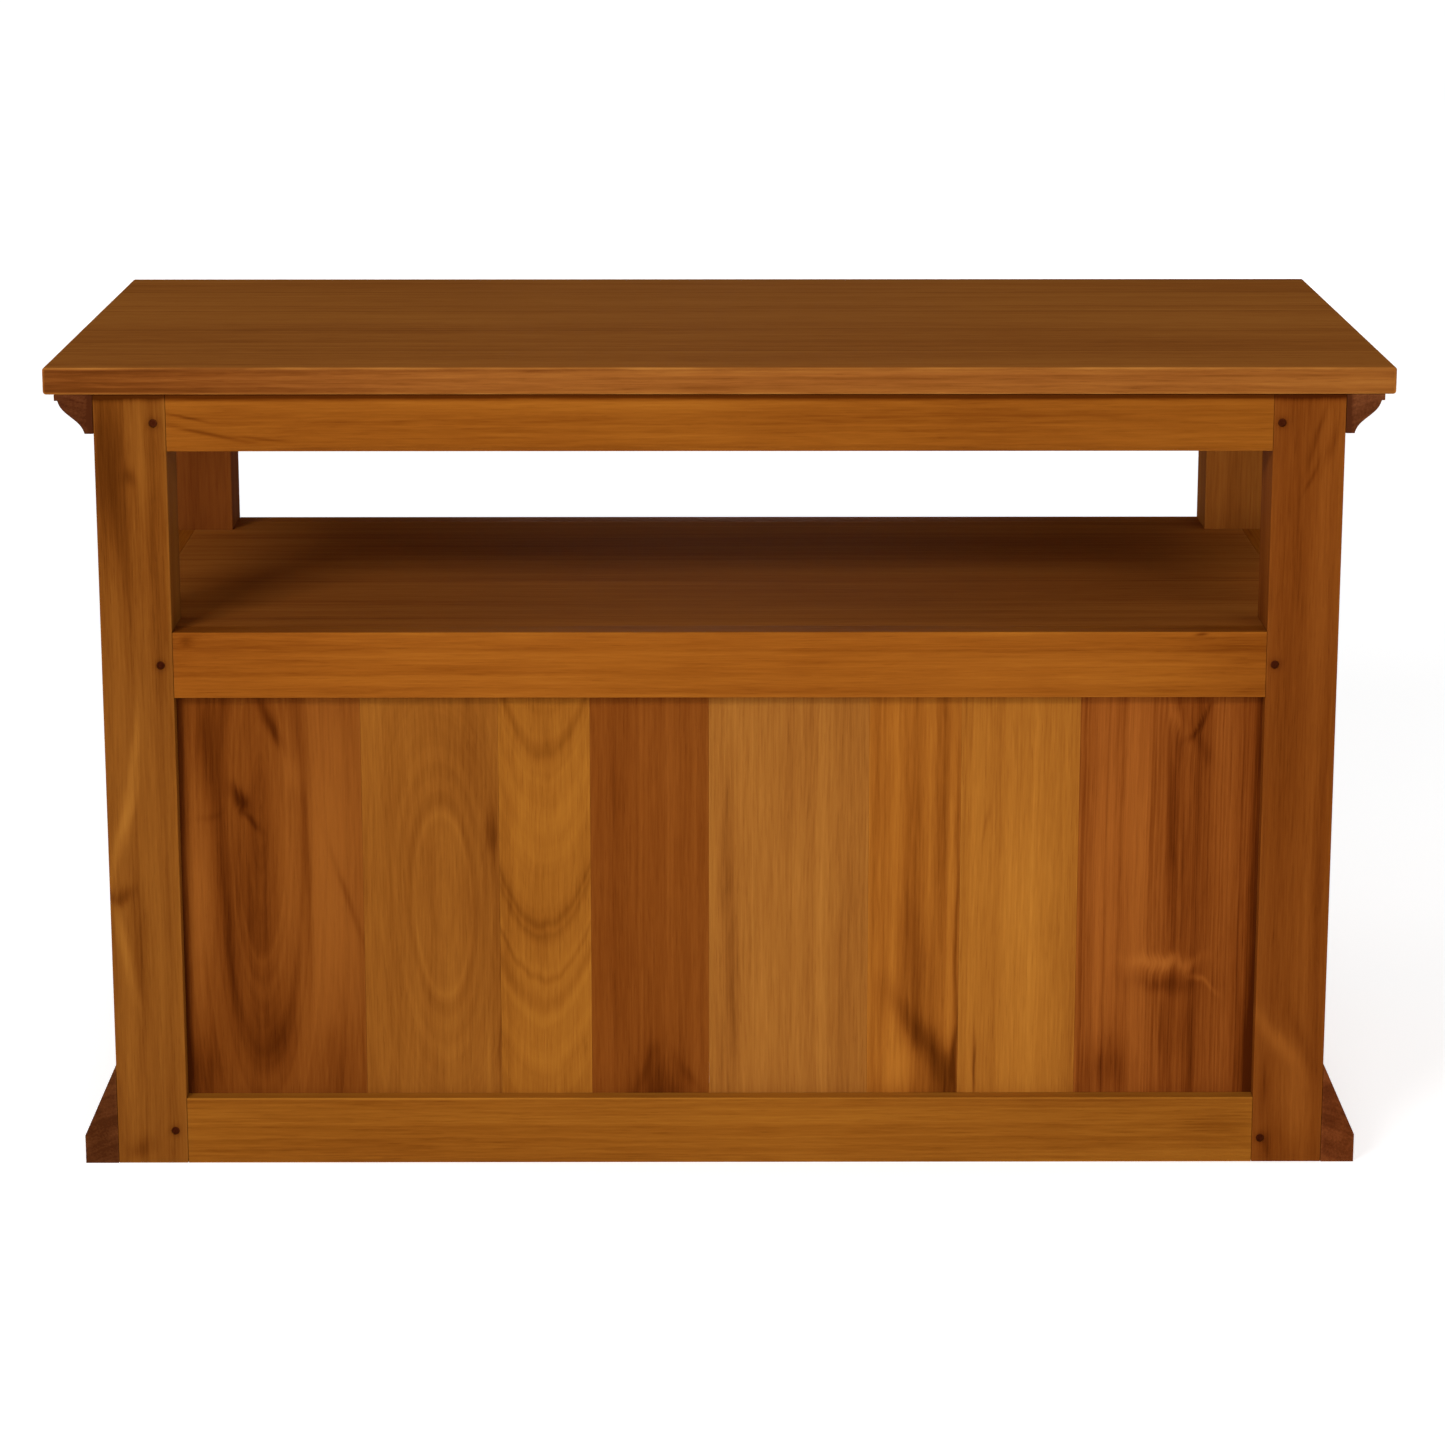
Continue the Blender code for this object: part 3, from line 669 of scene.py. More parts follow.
def screw_head(shape, place, twist):
    """Adds a countersunk head with a cross recess, level with the surface at place."""
    place = place @ Matrix.Rotation(twist, 4, "Z")
    foot = ring_of(shape, SCREW_RADIUS * SCREW_FOOT_SHARE, -SCREW_DEPTH, SCREW_STEPS, place)
    rim = ring_of(shape, SCREW_RADIUS, 0.0, SCREW_STEPS, place)
    crest = ring_of(shape, SCREW_RADIUS * SCREW_CREST_SHARE, SCREW_PROUD, SCREW_STEPS, place)
    bridge(shape, foot, rim)
    bridge(shape, rim, crest)
    shape.faces.new(foot)
    reach = CROSS_REACH_SHARE * SCREW_RADIUS
    half = CROSS_HALF_WIDTH_SHARE * SCREW_RADIUS
    arm = ((reach, -half), (reach, half), (half, half))
    outline = []
    for quarter in range(4):
        turn = Matrix.Rotation(quarter * math.pi / 2, 2)
        outline += [turn @ Vector(corner) for corner in arm]
    levels = []
    for height, share in ((SCREW_PROUD, 1.0), (SCREW_PROUD - CROSS_DEPTH, CROSS_TAPER)):
        levels.append([shape.verts.new(place @ Vector((x * share, y * share, height))) for x, y in outline])
    mouth, floor = levels
    bridge(shape, floor, mouth)
    shape.faces.new(floor)
    edges = []
    for loop in (crest, mouth):
        edges += [shape.edges.get((loop[step - 1], loop[step])) for step in range(len(loop))]
    bmesh.ops.triangle_fill(shape, edges=edges, use_beauty=True)


def screw_hole(shape, place):
    """Adds the volume that a screw's head needs."""
    depth = SCREW_DEPTH + SCREW_SLACK
    sunk = place @ Matrix.Translation((0.0, 0.0, SCREW_SLACK / 2 - depth / 2))
    radius = SCREW_RADIUS + SCREW_SLACK
    bmesh.ops.create_cone(
        shape, cap_ends=True, segments=SCREW_STEPS, radius1=radius, radius2=radius,
        depth=depth + SCREW_SLACK, matrix=sunk)


def drilled(name, mesh, places, pockets=()):
    """Cuts holes for screws at places and pockets (lowest and highest corner) in a mesh.

    Returns the cut mesh and a mesh of the screws' heads.
    """
    holes = bmesh.new()
    heads = bmesh.new()
    for low, high in pockets:
        middle = Matrix.Translation((low + high) / 2)
        bmesh.ops.create_cube(holes, size=1.0, matrix=middle @ Matrix.Diagonal((*(high - low), 1.0)))
    for number, place in enumerate(places):
        screw_hole(holes, place)
        screw_head(heads, place, twist=SCREW_TWIST + SCREW_TWIST_STEP * number)
    return cut(mesh, holes), finished_mesh(f"{name}_screws", heads)


def screwed(node, ending, places, metal_look, pockets=()):
    """Shows a CAD node with screws at places and with pockets cut out."""
    mesh, heads = drilled(node, welded_mesh(node), places, pockets)
    stand_in(node, ending, mesh)
    add_piece(heads.name, heads, metal_look, frame["nodes"][node]["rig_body"])


# Tints, as the lit wood reads in the photograph
ORANGE = (0.307, 0.0874, 0.0079)
BROWN = (0.225, 0.064, 0.0065)
TRIM_BROWN = (0.230, 0.074, 0.0200)
TOP_BROWN = (0.310, 0.1025, 0.0172)
SHELF_BROWN = (0.305, 0.092, 0.0135)
PEG_BROWN = (0.085, 0.0180, 0.0050)

PEG_LEVELS = ("top", "middle", "bottom")

# Tone patches, some of them painted shade or painted light: centre, reach along x, y and z, tone
frame_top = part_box("rail_back_top")[1].z
ledge_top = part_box("rail_back_bottom")[1].z
body_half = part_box("post_back_right")[1].x
CROWN_SHADE_REACH = (CROWN_SHADE_WIDTH, ENDLESS, ENDLESS)
# Painted shadow under the top's overhang, along the top of the back rail and the back posts
TOP_PAINTED_SHADE = ((0.0, 0.0, frame_top), (ENDLESS, ENDLESS, TOP_SHADE_REACH), PAINTED_SHADE_TONE)
# Painted light: a lighter band on the bottom rail's top face below the back panel
PAINTED_LEDGE_LIGHT = ((0.0, 0.0, ledge_top), (ENDLESS, ENDLESS, LEDGE), LEDGE_TONE)
# Painted shade on the crowns' ends, beside the back posts
LEFT_CROWN_PAINTED_SHADE = ((-body_half, 0.0, 0.0), CROWN_SHADE_REACH, PAINTED_SHADE_TONE)
RIGHT_CROWN_PAINTED_SHADE = ((body_half, 0.0, 0.0), CROWN_SHADE_REACH, PAINTED_SHADE_TONE)


def post_painted_shade(side_name):
    """Painted shade on a back post: a painted shadow under the top and painted shade round its pegs."""
    tone_patches = [TOP_PAINTED_SHADE]
    # Painted shade round each peg
    for level in PEG_LEVELS:
        low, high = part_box(f"peg_{level}_{side_name}")
        tone_patches.append(((low + high) / 2, (PEG_SHADE_RADIUS, ENDLESS, PEG_SHADE_RADIUS), PEG_SHADE_TONE))
    return tone_patches


# Each CAD node of wood: layout, tint, seed and what else sets it apart
TIMBER = {
    # The top's wear_and_highlight is mostly a painted highlight along its arris
    "top_board": ("xyz", TOP_BROWN, 1, dict(
        pith=(0.0, 0.75, 0.0), boards=(-0.26, 0.105, 0.07), streak=0.22, band=0.22, blotch=0.2,
        lustre=0.006, edge_grain=0.6, wear_and_highlight=0.42, marks=(Mark(-0.475, 0.240, 0.0012, 0.0060, -0.20),),
        tone_patches=(
            ((0.0, 0.240, 0.6295), (ENDLESS, TOP_EDGE, ENDLESS), -0.06),
            ((0.480, 0.240, 0.6295), (0.300, TOP_EDGE, ENDLESS), -0.13),
        ))),
    "media_shelf": ("xyz", SHELF_BROWN, 2, dict(
        pith=(0.0, 0.60, 0.0), boards=(-0.20, 0.085, 0.08), streak=0.30, band=0.30, lustre=0.006)),
    "cupboard_floor": ("xyz", BROWN, 3, dict(pith=(0.0, 0.20, 0.0), boards=(-0.20, 0.085, 0.30))),
    # The back posts' tone patches are painted shade under the top and round the pegs
    "post_back_right": ("zxy", (0.214, 0.0667, 0.0083), 4, dict(
        pith=(0.62, 0.20, 0.3), tone_patches=post_painted_shade("right"), marks=(
            Mark(0.560, 0.467, 0.085, 0.0125, -0.34, slope=0.03),
            Mark(0.552, 0.451, 0.007, 0.0044, -0.20, slope=0.28),
            Mark(0.572, 0.443, 0.039, 0.0052, 0.12),
            Mark(0.459, 0.467, 0.071, 0.0052, 0.10, slope=0.02),
            Mark(0.490, 0.438, 0.094, 0.0089, -0.06),
            Mark(0.560, 0.450, 0.130, 0.060, -0.12),
            Mark(0.331, 0.457, 0.048, 0.0042, 0.30, slope=-0.09),
            Mark(0.275, 0.467, 0.033, 0.0050, 0.36, slope=-0.32),
            Mark(0.225, 0.473, 0.0080, 0.0121, -0.30, slope=0.18, lift=0.005),
            Mark(0.181, 0.469, 0.041, 0.0042, 0.30, slope=0.18),
            Mark(0.169, 0.456, 0.066, 0.0061, -0.15, slope=0.05),
            Mark(0.013, 0.461, 0.0084, 0.0107, -0.22),
            Mark(0.086, 0.470, 0.050, 0.0069, 0.08),
        ))),
    "post_back_left": ("zxy", (0.193, 0.0484, 0.0058), 5, dict(
        pith=(-0.30, 0.10, 0.3), blotch=0.48, tone_patches=post_painted_shade("left"), marks=(
            Mark(0.590, -0.457, 0.022, 0.0028, -0.20, slope=-0.39),
            Mark(0.575, -0.467, 0.017, 0.0026, -0.16, slope=-0.36),
            Mark(0.558, -0.4526, 0.013, 0.0026, -0.18, slope=-0.50),
            Mark(0.495, -0.4455, 0.040, 0.0026, -0.12, slope=0.05),
            Mark(0.500, -0.462, 0.130, 0.0150, 0.05),
            Mark(0.110, -0.458, 0.025, 0.0049, -0.14, slope=0.34),
            Mark(0.102, -0.442, 0.023, 0.0074, 0.28, slope=0.69),
            Mark(0.055, -0.455, 0.042, 0.0170, 0.22, slope=0.20),
            Mark(0.068, -0.433, 0.025, 0.0041, -0.20),
            Mark(0.018, -0.434, 0.012, 0.0041, -0.20),
            Mark(0.217, -0.469, 0.098, 0.0057, -0.08),
        ))),
    # A darker tint than the other front post: painted shade, standing in for the back post's shadow on it
    "post_front_right": ("zxy", (0.182, 0.046, 0.0071), 6, dict(pith=(0.40, -0.05, 0.2))),
    "post_front_left": ("zxy", (0.302, 0.091, 0.0128), 7, dict(pith=(-0.60, -0.12, 0.2))),
    # Its tone patch is the painted shadow under the top
    "rail_back_top": ("xzy", (0.267, 0.0787, 0.0077), 8, dict(
        pith=(0.40, 0.15, 0.0), tone_patches=(TOP_PAINTED_SHADE,), marks=(
            Mark(0.404, 0.6025, 0.0148, 0.0012, -0.22, slope=0.21),
            Mark(0.392, 0.5909, 0.0259, 0.0015, -0.26, slope=0.21),
            Mark(0.351, 0.5863, 0.0223, 0.0012, -0.18, slope=0.13),
            Mark(0.480, 0.600, 0.360, ENDLESS, -0.04),
        ))),
    "rail_back_middle": ("xzy", (0.281, 0.0803, 0.0078), 9, dict(
        pith=(0.60, 0.15, 0.0), blotch=0.65, marks=(
            Mark(-0.374, 0.4310, 0.0048, 0.0016, -0.35),
            Mark(0.412, 0.4245, 0.0045, 0.0040, -0.15, lift=0.003),
            Mark(0.480, 0.400, 0.360, ENDLESS, -0.06),
        ))),
    # Its tone patch is painted light on the ledge below the panel
    "rail_back_bottom": ("xzy", (0.278, 0.0901, 0.0089), 10, dict(
        pith=(-0.20, 0.10, 0.0), tone_patches=(PAINTED_LEDGE_LIGHT,), marks=(
            Mark(-0.395, 0.0300, 0.0311, 0.0109, -0.14),
            Mark(0.480, 0.030, 0.360, ENDLESS, -0.05),
        ))),
    "rail_front_top": ("xzy", ORANGE, 11, dict(pith=(0.45, -0.10, 0.0))),
    "rail_front_middle": ("xzy", ORANGE, 12, dict(pith=(0.55, -0.10, 0.0))),
    "rail_front_bottom": ("xzy", BROWN, 13, dict(pith=(-0.20, -0.10, 0.0))),
    "rail_left_top": ("yzx", BROWN, 14, dict(pith=(0.45, -0.30, 0.0))),
    "rail_left_middle": ("yzx", ORANGE, 26, dict(pith=(0.60, -0.30, 0.0))),
    "rail_left_bottom": ("yzx", BROWN, 15, dict(pith=(-0.30, -0.30, 0.0))),
    "rail_right_top": ("yzx", ORANGE, 16, dict(pith=(0.45, 0.30, 0.0))),
    "rail_right_middle": ("yzx", ORANGE, 27, dict(pith=(0.60, 0.30, 0.0))),
    "rail_right_bottom": ("yzx", BROWN, 17, dict(pith=(-0.30, 0.30, 0.0))),
    "panel_left": ("zyx", ORANGE, 18, dict(pith=(0.0, -0.20, 0.0), boards=(-0.16, 0.078, 0.45))),
    "panel_right": ("zyx", ORANGE, 19, dict(pith=(0.0, 0.20, 0.0), boards=(-0.17, 0.088, 0.45))),
    "crown_front": ("xzy", TRIM_BROWN, 20, dict(pith=(0.9, -0.1, 0.0))),
    # The side crowns' tone patches are painted shade beside the back posts
    "crown_left": ("yzx", (0.255, 0.088, 0.0290), 21, dict(
        pith=(0.9, -0.4, 0.0), end=-0.34, tone_patches=(LEFT_CROWN_PAINTED_SHADE,))),
    "crown_right": ("yzx", (0.205, 0.068, 0.0220), 22, dict(
        pith=(0.9, 0.4, 0.0), end=-0.40, tone_patches=(RIGHT_CROWN_PAINTED_SHADE,))),
    "plinth_front": ("xzy", TRIM_BROWN, 23, dict(pith=(-0.2, -0.1, 0.0))),
    "plinth_left": ("yzx", (0.255, 0.073, 0.0185), 24, dict(pith=(-0.2, -0.4, 0.0), end=-0.30)),
    "plinth_right": ("yzx", (0.218, 0.076, 0.0220), 25, dict(pith=(-0.2, 0.4, 0.0), end=-0.36)),
}
for side_name, side in SIDES.items():
    door = f"door_{side_name}_"
    seed = DOOR_SEED + DOOR_SEED_STEP * side
    TIMBER[door + "hinge_stile"] = ("zxy", ORANGE, seed + 1, dict(pith=(0.65 * side, -0.10, 0.2)))
    TIMBER[door + "meeting_stile"] = ("zxy", ORANGE, seed + 2, dict(pith=(0.25 * side, -0.12, 0.2)))
    TIMBER[door + "top_rail"] = ("xzy", ORANGE, seed + 3, dict(pith=(0.60, -0.10, 0.0)))
    TIMBER[door + "bottom_rail"] = ("xzy", ORANGE, seed + 4, dict(pith=(-0.15, -0.10, 0.0)))
    TIMBER[door + "panel"] = ("zxy", ORANGE, seed + 5, dict(
        pith=(0.21 * side, 0.0, 0.2), boards=(-0.003, 0.095, 0.40)))
    TIMBER[door + "knob"] = ("zxy", ORANGE, seed + 6, dict(pith=(0.05 * side, 0.10, 0.0)))
for level in PEG_LEVELS:
    for side_name in SIDES:
        traits = dict(pith=(0.1, 0.3, 0.0), lustre=0.0)
        TIMBER[f"peg_{level}_{side_name}"] = ("yxz", PEG_BROWN, PEG_SEED + len(TIMBER), traits)

for node, (layout, tint, seed, traits) in TIMBER.items():
    dress(node, wood(node, layout, tint, seed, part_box(node), **traits))

# The back panel's boards, from the photograph's left to its right: tint and traits
BACK_BOARDS = (
    ((0.182, 0.0467, 0.0058), dict(
        pith=(0.358, 0.2257, 0.2835), lean=(0.0, 0.165), band=0.42, streak=0.40,
        accents=((0.033, 0.0034, -0.20),), marks=(
            Mark(0.240, 0.304, 0.200, 0.0270, 0.38),
            Mark(0.250, 0.338, 0.080, 0.0060, 0.16),
            Mark(0.345, 0.401, 0.048, 0.0085, -0.34, slope=0.05),
            Mark(0.298, 0.374, 0.0097, 0.0061, -0.50, slope=0.28, lift=0.004),
            Mark(0.281, 0.366, 0.0081, 0.0038, -0.25, slope=0.84),
            Mark(0.282, 0.399, 0.0033, 0.0106, -0.10),
            Mark(0.359, 0.350, 0.0177, 0.0045, -0.36, slope=0.46, lift=0.002),
            Mark(0.324, 0.335, 0.021, 0.0068, 0.16, slope=0.19),
            Mark(0.214, 0.366, 0.066, 0.0199, -0.15),
            Mark(0.107, 0.348, 0.032, 0.0131, -0.22),
            Mark(0.075, 0.409, 0.0285, 0.0169, -0.26),
            Mark(0.080, 0.300, 0.050, 0.0150, -0.26, slope=-0.09),
            Mark(0.210, 0.409, 0.095, 0.0110, 0.36),
            Mark(0.215, 0.3235, 0.105, 0.0030, -0.24),
            Mark(0.205, 0.384, 0.070, 0.0030, -0.16, slope=0.04),
            Mark(0.200, 0.356, 0.080, 0.0022, -0.14),
            Mark(0.217, 0.2922, 0.040, 0.0028, -0.24, slope=0.32),
        ))),
    ((0.261, 0.0839, 0.0102), dict(
        pith=(0.218, 0.2257, 0.210), lean=(0.02, 0.29), wander=0.02, band=0.16, ring=0.08, streak=0.25,
        accents=((0.0216, 0.0011, 0.08), (0.0250, 0.0024, -0.08), (0.036, 0.0014, 0.05)), marks=(
            Mark(0.215, 0.216, 0.075, 0.0150, 0.10),
            Mark(0.330, 0.205, 0.050, 0.0160, -0.08),
            Mark(0.265, 0.180, 0.020, 0.0045, -0.26),
            Mark(0.130, 0.1745, 0.110, 0.0010, -0.24),
            Mark(0.095, 0.1830, 0.045, 0.0018, 0.14),
        ))),
    ((0.327, 0.1116, 0.0123), dict(
        pith=(0.1395, 0.1257, 0.200), lean=(0.0, 0.14), band=0.3, streak=0.2,
        accents=(
            (0.0813, 0.0011, -0.13), (0.1010, 0.0006, -0.10), (0.1024, 0.0005, -0.09),
            (0.1074, 0.0005, -0.08), (0.1120, 0.0009, 0.09),
        ))),
    ((0.205, 0.0530, 0.0066), dict(
        pith=(0.40, 0.15, 0.2), marks=(
            Mark(0.056, 0.0455, 0.030, 0.0210, -0.28, lift=0.003),
            Mark(0.069, 0.060, 0.022, 0.0047, -0.16, slope=-0.47),
            Mark(0.069, 0.024, 0.0185, 0.0048, -0.14, slope=0.57),
            Mark(0.328, 0.086, 0.097, 0.0109, -0.10),
        ))),
    ((0.320, 0.1134, 0.0176), dict(
        pith=(0.45, 0.12, 0.2), band=0.25, streak=0.2, marks=(
            Mark(0.230, -0.007, 0.078, 0.0055, -0.20),
            Mark(0.123, -0.012, 0.067, 0.0048, -0.17),
            Mark(0.081, -0.003, 0.050, 0.0064, -0.08),
        ))),
    ((0.309, 0.0955, 0.0108), dict(
        pith=(-0.50, 0.12, 0.2), band=0.5, streak=0.8, marks=(
            Mark(0.102, -0.160, 0.036, 0.0115, -0.34, slope=0.60, lift=0.002),
            Mark(0.058, -0.178, 0.031, 0.0115, -0.42, slope=0.10, lift=0.003),
            Mark(0.098, -0.188, 0.042, 0.0032, -0.25, slope=-0.10),
            Mark(0.076, -0.143, 0.0285, 0.0112, 0.26, lift=-0.002),
            Mark(0.214, -0.187, 0.173, 0.0021, -0.22),
            Mark(0.164, -0.154, 0.050, 0.0128, -0.12, slope=0.19),
        ))),
    ((0.348, 0.1185, 0.0144), dict(
        pith=(-0.60, 0.12, 0.2), band=0.25, streak=0.22, marks=(
            Mark(0.076, -0.202, 0.030, 0.0018, -0.36),
            Mark(0.272, -0.207, 0.0147, 0.0020, -0.14, slope=-0.20),
            Mark(0.172, -0.237, 0.141, 0.0321, 0.08),
        ))),
    ((0.222, 0.0547, 0.0073), dict(
        pith=(-0.80, 0.15, 0.2), band=0.45, ring=0.45, streak=0.75, ring_rate=430.0, marks=(
            Mark(0.283, -0.353, 0.090, 0.0040, -0.26, slope=0.03),
            Mark(0.271, -0.333, 0.073, 0.0032, 0.14),
            Mark(0.074, -0.308, 0.025, 0.0163, -0.36),
            Mark(0.164, -0.350, 0.0058, 0.0243, 0.42, lift=0.003),
            Mark(0.145, -0.350, 0.0083, 0.0244, -0.22),
            Mark(0.098, -0.353, 0.042, 0.0081, -0.14),
            Mark(0.085, -0.348, 0.0335, 0.0024, 0.20),
            Mark(0.089, -0.373, 0.050, 0.0049, -0.16),
            Mark(0.358, -0.357, 0.0177, 0.0072, 0.20, slope=0.40, lift=0.003),
            Mark(0.344, -0.374, 0.0194, 0.0056, -0.14, slope=0.50),
            Mark(0.081, -0.417, 0.042, 0.0074, -0.30),
            Mark(0.230, -0.395, 0.131, 0.0081, 0.07),
            Mark(0.262, -0.3405, 0.095, 0.0018, -0.20),
            Mark(0.275, -0.3625, 0.085, 0.0017, -0.18, slope=0.01),
            Mark(0.357, -0.373, 0.014, 0.0028, -0.28, slope=-0.60, lift=0.002),
            Mark(0.250, -0.316, 0.100, 0.0020, -0.12),
            Mark(0.230, -0.305, 0.200, 0.0260, 0.20),
            Mark(0.230, -0.378, 0.130, 0.0110, -0.14),
            Mark(0.1447, -0.3810, 0.0085, 0.0035, 0.24, slope=1.15),
        ))),
)
panel_low, panel_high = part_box("panel_back")
panel_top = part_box("rail_back_middle")[0].z
panel_sides = (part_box("post_back_left")[1].x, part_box("post_back_right")[0].x)
# Painted shade on the back panel's boards, in the recess under the middle rail and beside the posts
PANEL_PAINTED_SHADE = [((0.0, 0.0, panel_top), (ENDLESS, ENDLESS, PANEL_TOP_SHADE), PANEL_SHADE_TONE)]
for x in panel_sides:
    PANEL_PAINTED_SHADE.append(((x, 0.0, 0.0), (PANEL_SIDE_SHADE, ENDLESS, ENDLESS), PANEL_SHADE_TONE))
for number, (tint, traits) in enumerate(BACK_BOARDS):
    low = Vector((BOARD_EDGES[number + 1] + BOARD_JOINT, panel_low.y, panel_low.z))
    high = Vector((BOARD_EDGES[number] - BOARD_JOINT, panel_high.y, panel_high.z))
    name = f"panel_back_board_{number + 1}"
    finish = wood(name, "zxy", tint, BOARD_SEED + number, (low, high), tone_patches=PANEL_PAINTED_SHADE, **traits)
    board = add_piece(name, board_mesh(name, low, high, BOARD_ARRIS), finish, "cabinet")
    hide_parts("panel_back")

# Metals and plastic of the fittings
BRASS = metal(
    "brass", bright=(0.43, 0.275, 0.090), dull=(0.17, 0.100, 0.034),
    seed=81, rough=0.36, brushed=(40.0, 40.0, 2400.0))
SCREW_BRASS = metal(
    "screw_brass", bright=(0.38, 0.235, 0.075), dull=(0.15, 0.090, 0.030),
    seed=84, rough=0.40, brushed=(700.0, 700.0, 700.0))
STEEL = metal(
    "strike_steel", bright=(0.42, 0.41, 0.39), dull=(0.22, 0.21, 0.20),
    seed=82, rough=0.36, brushed=(60.0, 60.0, 2200.0))
PLASTIC = moulded("catch_plastic", colour=(0.060, 0.035, 0.020), seed=83)
for node in frame["nodes"]:
    if node.startswith("hinge_"):
        dress(node, BRASS)
dress("catch_body", PLASTIC)


def knob_profile():
    """The knob's half outline, from the spigot's end out to the tip of the head."""
    length = KNOB_SEAT_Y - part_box("door_left_knob")[0].y
    spigot_end = KNOB_SEAT_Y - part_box("door_left_knob")[1].y
    corner = KNOB_ROUNDING
    mid_arc = corner * MID_ARC_SHARE
    outline = [
        (0.0, spigot_end),
        (KNOB_SPIGOT - corner, spigot_end),
        (KNOB_SPIGOT, spigot_end + corner),
        (KNOB_SPIGOT, 0.0),
        (KNOB_FOOT - corner / 2, 0.0),
        (KNOB_FOOT, corner / 2),
        (KNOB_FOOT, KNOB_FOOT_THICKNESS - corner),
        (KNOB_FOOT - mid_arc, KNOB_FOOT_THICKNESS - mid_arc),
        (KNOB_FOOT - corner, KNOB_FOOT_THICKNESS),
        (KNOB_NECK + corner, KNOB_FOOT_THICKNESS),
    ]
    first = math.asin(KNOB_NECK / KNOB_HEAD)
    for ring in range(KNOB_RINGS + 1):
        angle = first + (math.pi - first) * ring / KNOB_RINGS
        height = length - KNOB_HEAD_LENGTH / 2 * (1 + math.cos(angle))
        outline.append((KNOB_HEAD * math.sin(angle), height))
    outline[-1] = (0.0, length)
    return outline


# Smooth stand-ins for the round pieces
for side_name in SIDES:
    node = f"door_{side_name}_knob"
    low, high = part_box(node)
    seat = Vector(((low.x + high.x) / 2, KNOB_SEAT_Y, (low.z + high.z) / 2))
    stand_in(node, "turned", turned_mesh(node, knob_profile(), facing(seat, (0, -1, 0)), TURNED_STEPS))
for node in ("crown_front", "crown_left", "crown_right"):
    stand_in(node, "moulding", welded_mesh(node))
for node in frame["nodes"]:
    if node.startswith("peg_"):
        stand_in(node, "dowel", welded_mesh(node))
    elif node.endswith("_pin"):
        stand_in(node, "rod", welded_mesh(node))

# Hinge leaves with their screws
for side_name, side in SIDES.items():
    for level in ("lower", "upper"):
        hinge = f"hinge_{side_name}_{level}_"
        for leaf, toward in (("post_leaf", side), ("door_leaf", -side)):
            low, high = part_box(hinge + leaf)
            pin_low, pin_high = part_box(hinge + "pin")
            plate_front = pin_high.y
            middle = (plate_front + high.y) / 2
            axis_x = (pin_low.x + pin_high.x) / 2
            face = axis_x + toward * LEAF_FACE
            heights = (low.z + LEAF_SCREW_INSET, (low.z + high.z) / 2, high.z - LEAF_SCREW_INSET)
            places = []
            for height, stagger in zip(heights, (1, -1, 1)):
                point = Vector((face, middle + stagger * LEAF_SCREW_STAGGER, height))
                places.append(facing(point, (-toward, 0, 0)))
            screwed(hinge + leaf, "plate", places, SCREW_BRASS)

# Steel strike plates on the doors, behind the top of the meeting stiles
for side_name, side in SIDES.items():
    stile_low, stile_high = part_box(f"door_{side_name}_meeting_stile")
    edge = stile_low.x if side > 0 else stile_high.x
    left, right = sorted((edge + side * STRIKE_INSET, edge + side * (STRIKE_INSET + STRIKE_WIDTH)))
    back = stile_high.y + STRIKE_GAP
    crest = stile_high.z - STRIKE_DROP
    low = Vector((left, back, crest - STRIKE_HEIGHT))
    high = Vector((right, back + STRIKE_THICKNESS, crest))
    name = f"strike_{side_name}"
    point = Vector(((low.x + high.x) / 2, high.y, (low.z + high.z) / 2))
    mesh, heads = drilled(name, board_mesh(name, low, high, STRIKE_ARRIS), [facing(point, (0, 1, 0))])
    add_piece(f"{name}_plate", mesh, STEEL, f"door_{side_name}")
    add_piece(heads.name, heads, STEEL, f"door_{side_name}")

# The catch: two steel poles for each door, and screws from below
catch_low, catch_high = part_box("catch_body")
poles = []
pockets = []
slack = Vector((POLE_SLACK,) * 3)
for side in SIDES.values():
    for x in POLE_PLACES:
        low = Vector((side * x - POLE_WIDTH / 2, catch_low.y - POLE_PROUD, catch_low.z + POLE_END_GAP))
        high = Vector((side * x + POLE_WIDTH / 2, catch_low.y + POLE_DEPTH, catch_high.z - POLE_END_GAP))
        poles.append((low, high))
        pockets.append((low - slack, high + slack))
for number, (low, high) in enumerate(poles):
    name = f"catch_pole_{number + 1}"
    add_piece(name, board_mesh(name, low, high, POLE_ARRIS), STEEL, "cabinet")
places = []
for side in SIDES.values():
    point = Vector((side * CATCH_SCREW_X, (catch_low.y + catch_high.y) / 2, catch_low.z))
    places.append(facing(point, (0, 0, -1)))
screwed("catch_body", "case", places, STEEL, pockets)


def seen_ray(s):
    """1 for rays that show the background: straight, mirrored or through glass."""
    path = s.node("ShaderNodeLightPath")
    straight = path.outputs["Is Camera Ray"]
    mirrored = path.outputs["Is Glossy Ray"]
    through = path.outputs["Is Transmission Ray"]
    return s.math("MAXIMUM", straight, s.math("MAXIMUM", mirrored, through))


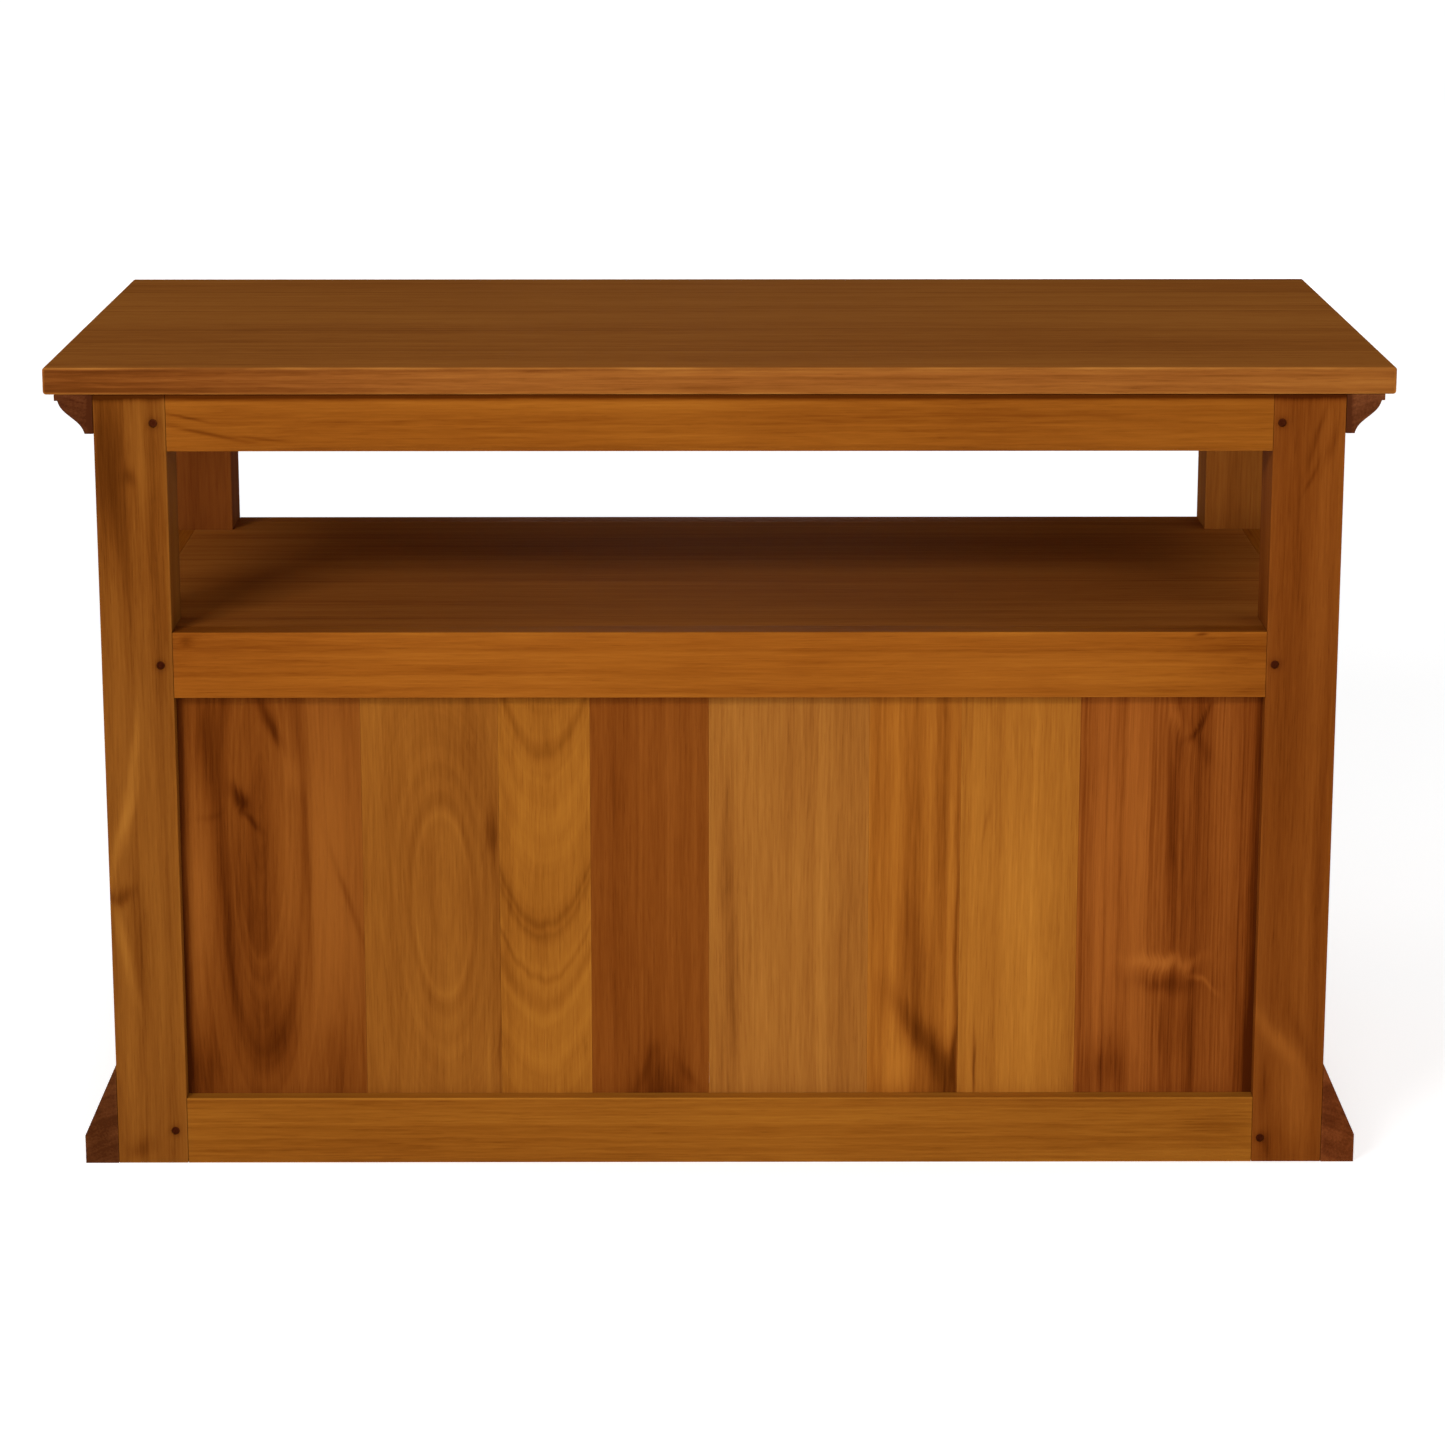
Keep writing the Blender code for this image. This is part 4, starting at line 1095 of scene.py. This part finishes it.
def make_stage():
    """A pale floor that keeps the shadow."""
    mesh = bpy.data.meshes.new("floor")
    signs = ((-1, -1), (1, -1), (1, 1), (-1, 1))
    corners = [(x * FLOOR_HALF, y * FLOOR_HALF, 0.0) for x, y in signs]
    mesh.from_pydata(corners, [], [(0, 1, 2, 3)])
    floor = bpy.data.objects.new("floor", mesh)
    bpy.context.scene.collection.objects.link(floor)
    floor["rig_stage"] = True
    s = Sketch("floor", FLOOR_SEED)
    place = s.node("ShaderNodeTexCoord").outputs["Object"]
    cloud = s.noise(place, FLOOR_FINENESS)
    darker = FLOOR_COLOUR * (1 - FLOOR_UNEVENNESS)
    lighter = FLOOR_COLOUR * (1 + FLOOR_UNEVENNESS)
    pale = [(0.2, (darker,) * 3), (0.8, (lighter,) * 3)]
    s.feed(s.shader.inputs["Base Color"], s.ramp(s.total(MIDDLE_TONE, (cloud, 1.0)), pale))
    s.shader.inputs["Roughness"].default_value = FLOOR_ROUGHNESS
    s.shader.inputs["Specular IOR Level"].default_value = 0.0
    s.shader.inputs["Emission Color"].default_value = (1.0, 1.0, 1.0, 1.0)
    far = s.math("DIVIDE", s.vector("LENGTH", place), FLOOR_GLOW_REACH, clamp=True)
    glow = s.math("MULTIPLY_ADD", far, FLOOR_GLOW_FAR - FLOOR_GLOW_NEAR, FLOOR_GLOW_NEAR)
    s.feed(s.shader.inputs["Emission Strength"], s.math("MULTIPLY", seen_ray(s), glow))
    mesh.materials.append(s.material)


class SkySketch(Sketch):
    """The same helpers on the world's nodes."""

    def __init__(self, world):
        world.use_nodes = True
        self.tree = world.node_tree
        self.shader = self.tree.nodes["Background"]
        self.shift = (0.0, 0.0, 0.0)


def make_light():
    """A soft sky, dimmer in front and white to look at, and the lamps round the cabinet."""
    world = bpy.data.worlds.new("studio")
    bpy.context.scene.world = world
    s = SkySketch(world)
    direction = s.node("ShaderNodeTexCoord").outputs["Generated"]
    _, back, up = s.split(direction)
    glow = s.math("MULTIPLY_ADD", s.math("MAXIMUM", up, 0.0), SKY_HIGH - SKY_LOW, SKY_LOW)
    side_share = s.math("MULTIPLY_ADD", back, (1 - SKY_FRONT) / 2, (1 + SKY_FRONT) / 2)
    glow = s.math("MULTIPLY", glow, side_share)
    seen = seen_ray(s)
    strength = s.math("ADD", s.math("MULTIPLY", glow, s.math("SUBTRACT", 1.0, seen)), seen)
    s.shader.inputs["Color"].default_value = (1.0, 1.0, 1.0, 1.0)
    s.feed(s.shader.inputs["Strength"], strength)
    for name, (place, size, power) in LAMPS.items():
        light = bpy.data.lights.new(f"lamp_{name}", "AREA")
        light.shape = "RECTANGLE"
        light.size, light.size_y = size
        light.energy = power
        lamp = bpy.data.objects.new(light.name, light)
        lamp.location = place
        lamp.rotation_euler = (LAMP_TARGET - Vector(place)).to_track_quat("-Z", "Y").to_euler()
        bpy.context.scene.collection.objects.link(lamp)


def make_camera():
    """The photograph's viewpoint."""
    data = bpy.data.cameras.new("photo_view")
    data.sensor_width = CAMERA_SENSOR
    data.lens = CAMERA_LENS
    data.shift_y = CAMERA_SHIFT
    data.clip_end = CAMERA_REACH
    camera = bpy.data.objects.new("photo_view", data)
    camera.location = CAMERA_PLACE
    camera.rotation_euler = (CAMERA_PITCH, 0.0, CAMERA_TURN)
    bpy.context.scene.collection.objects.link(camera)
    bpy.context.scene.camera = camera


make_stage()
make_light()
make_camera()
bpy.context.scene.view_settings.view_transform = "Standard"

low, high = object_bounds()
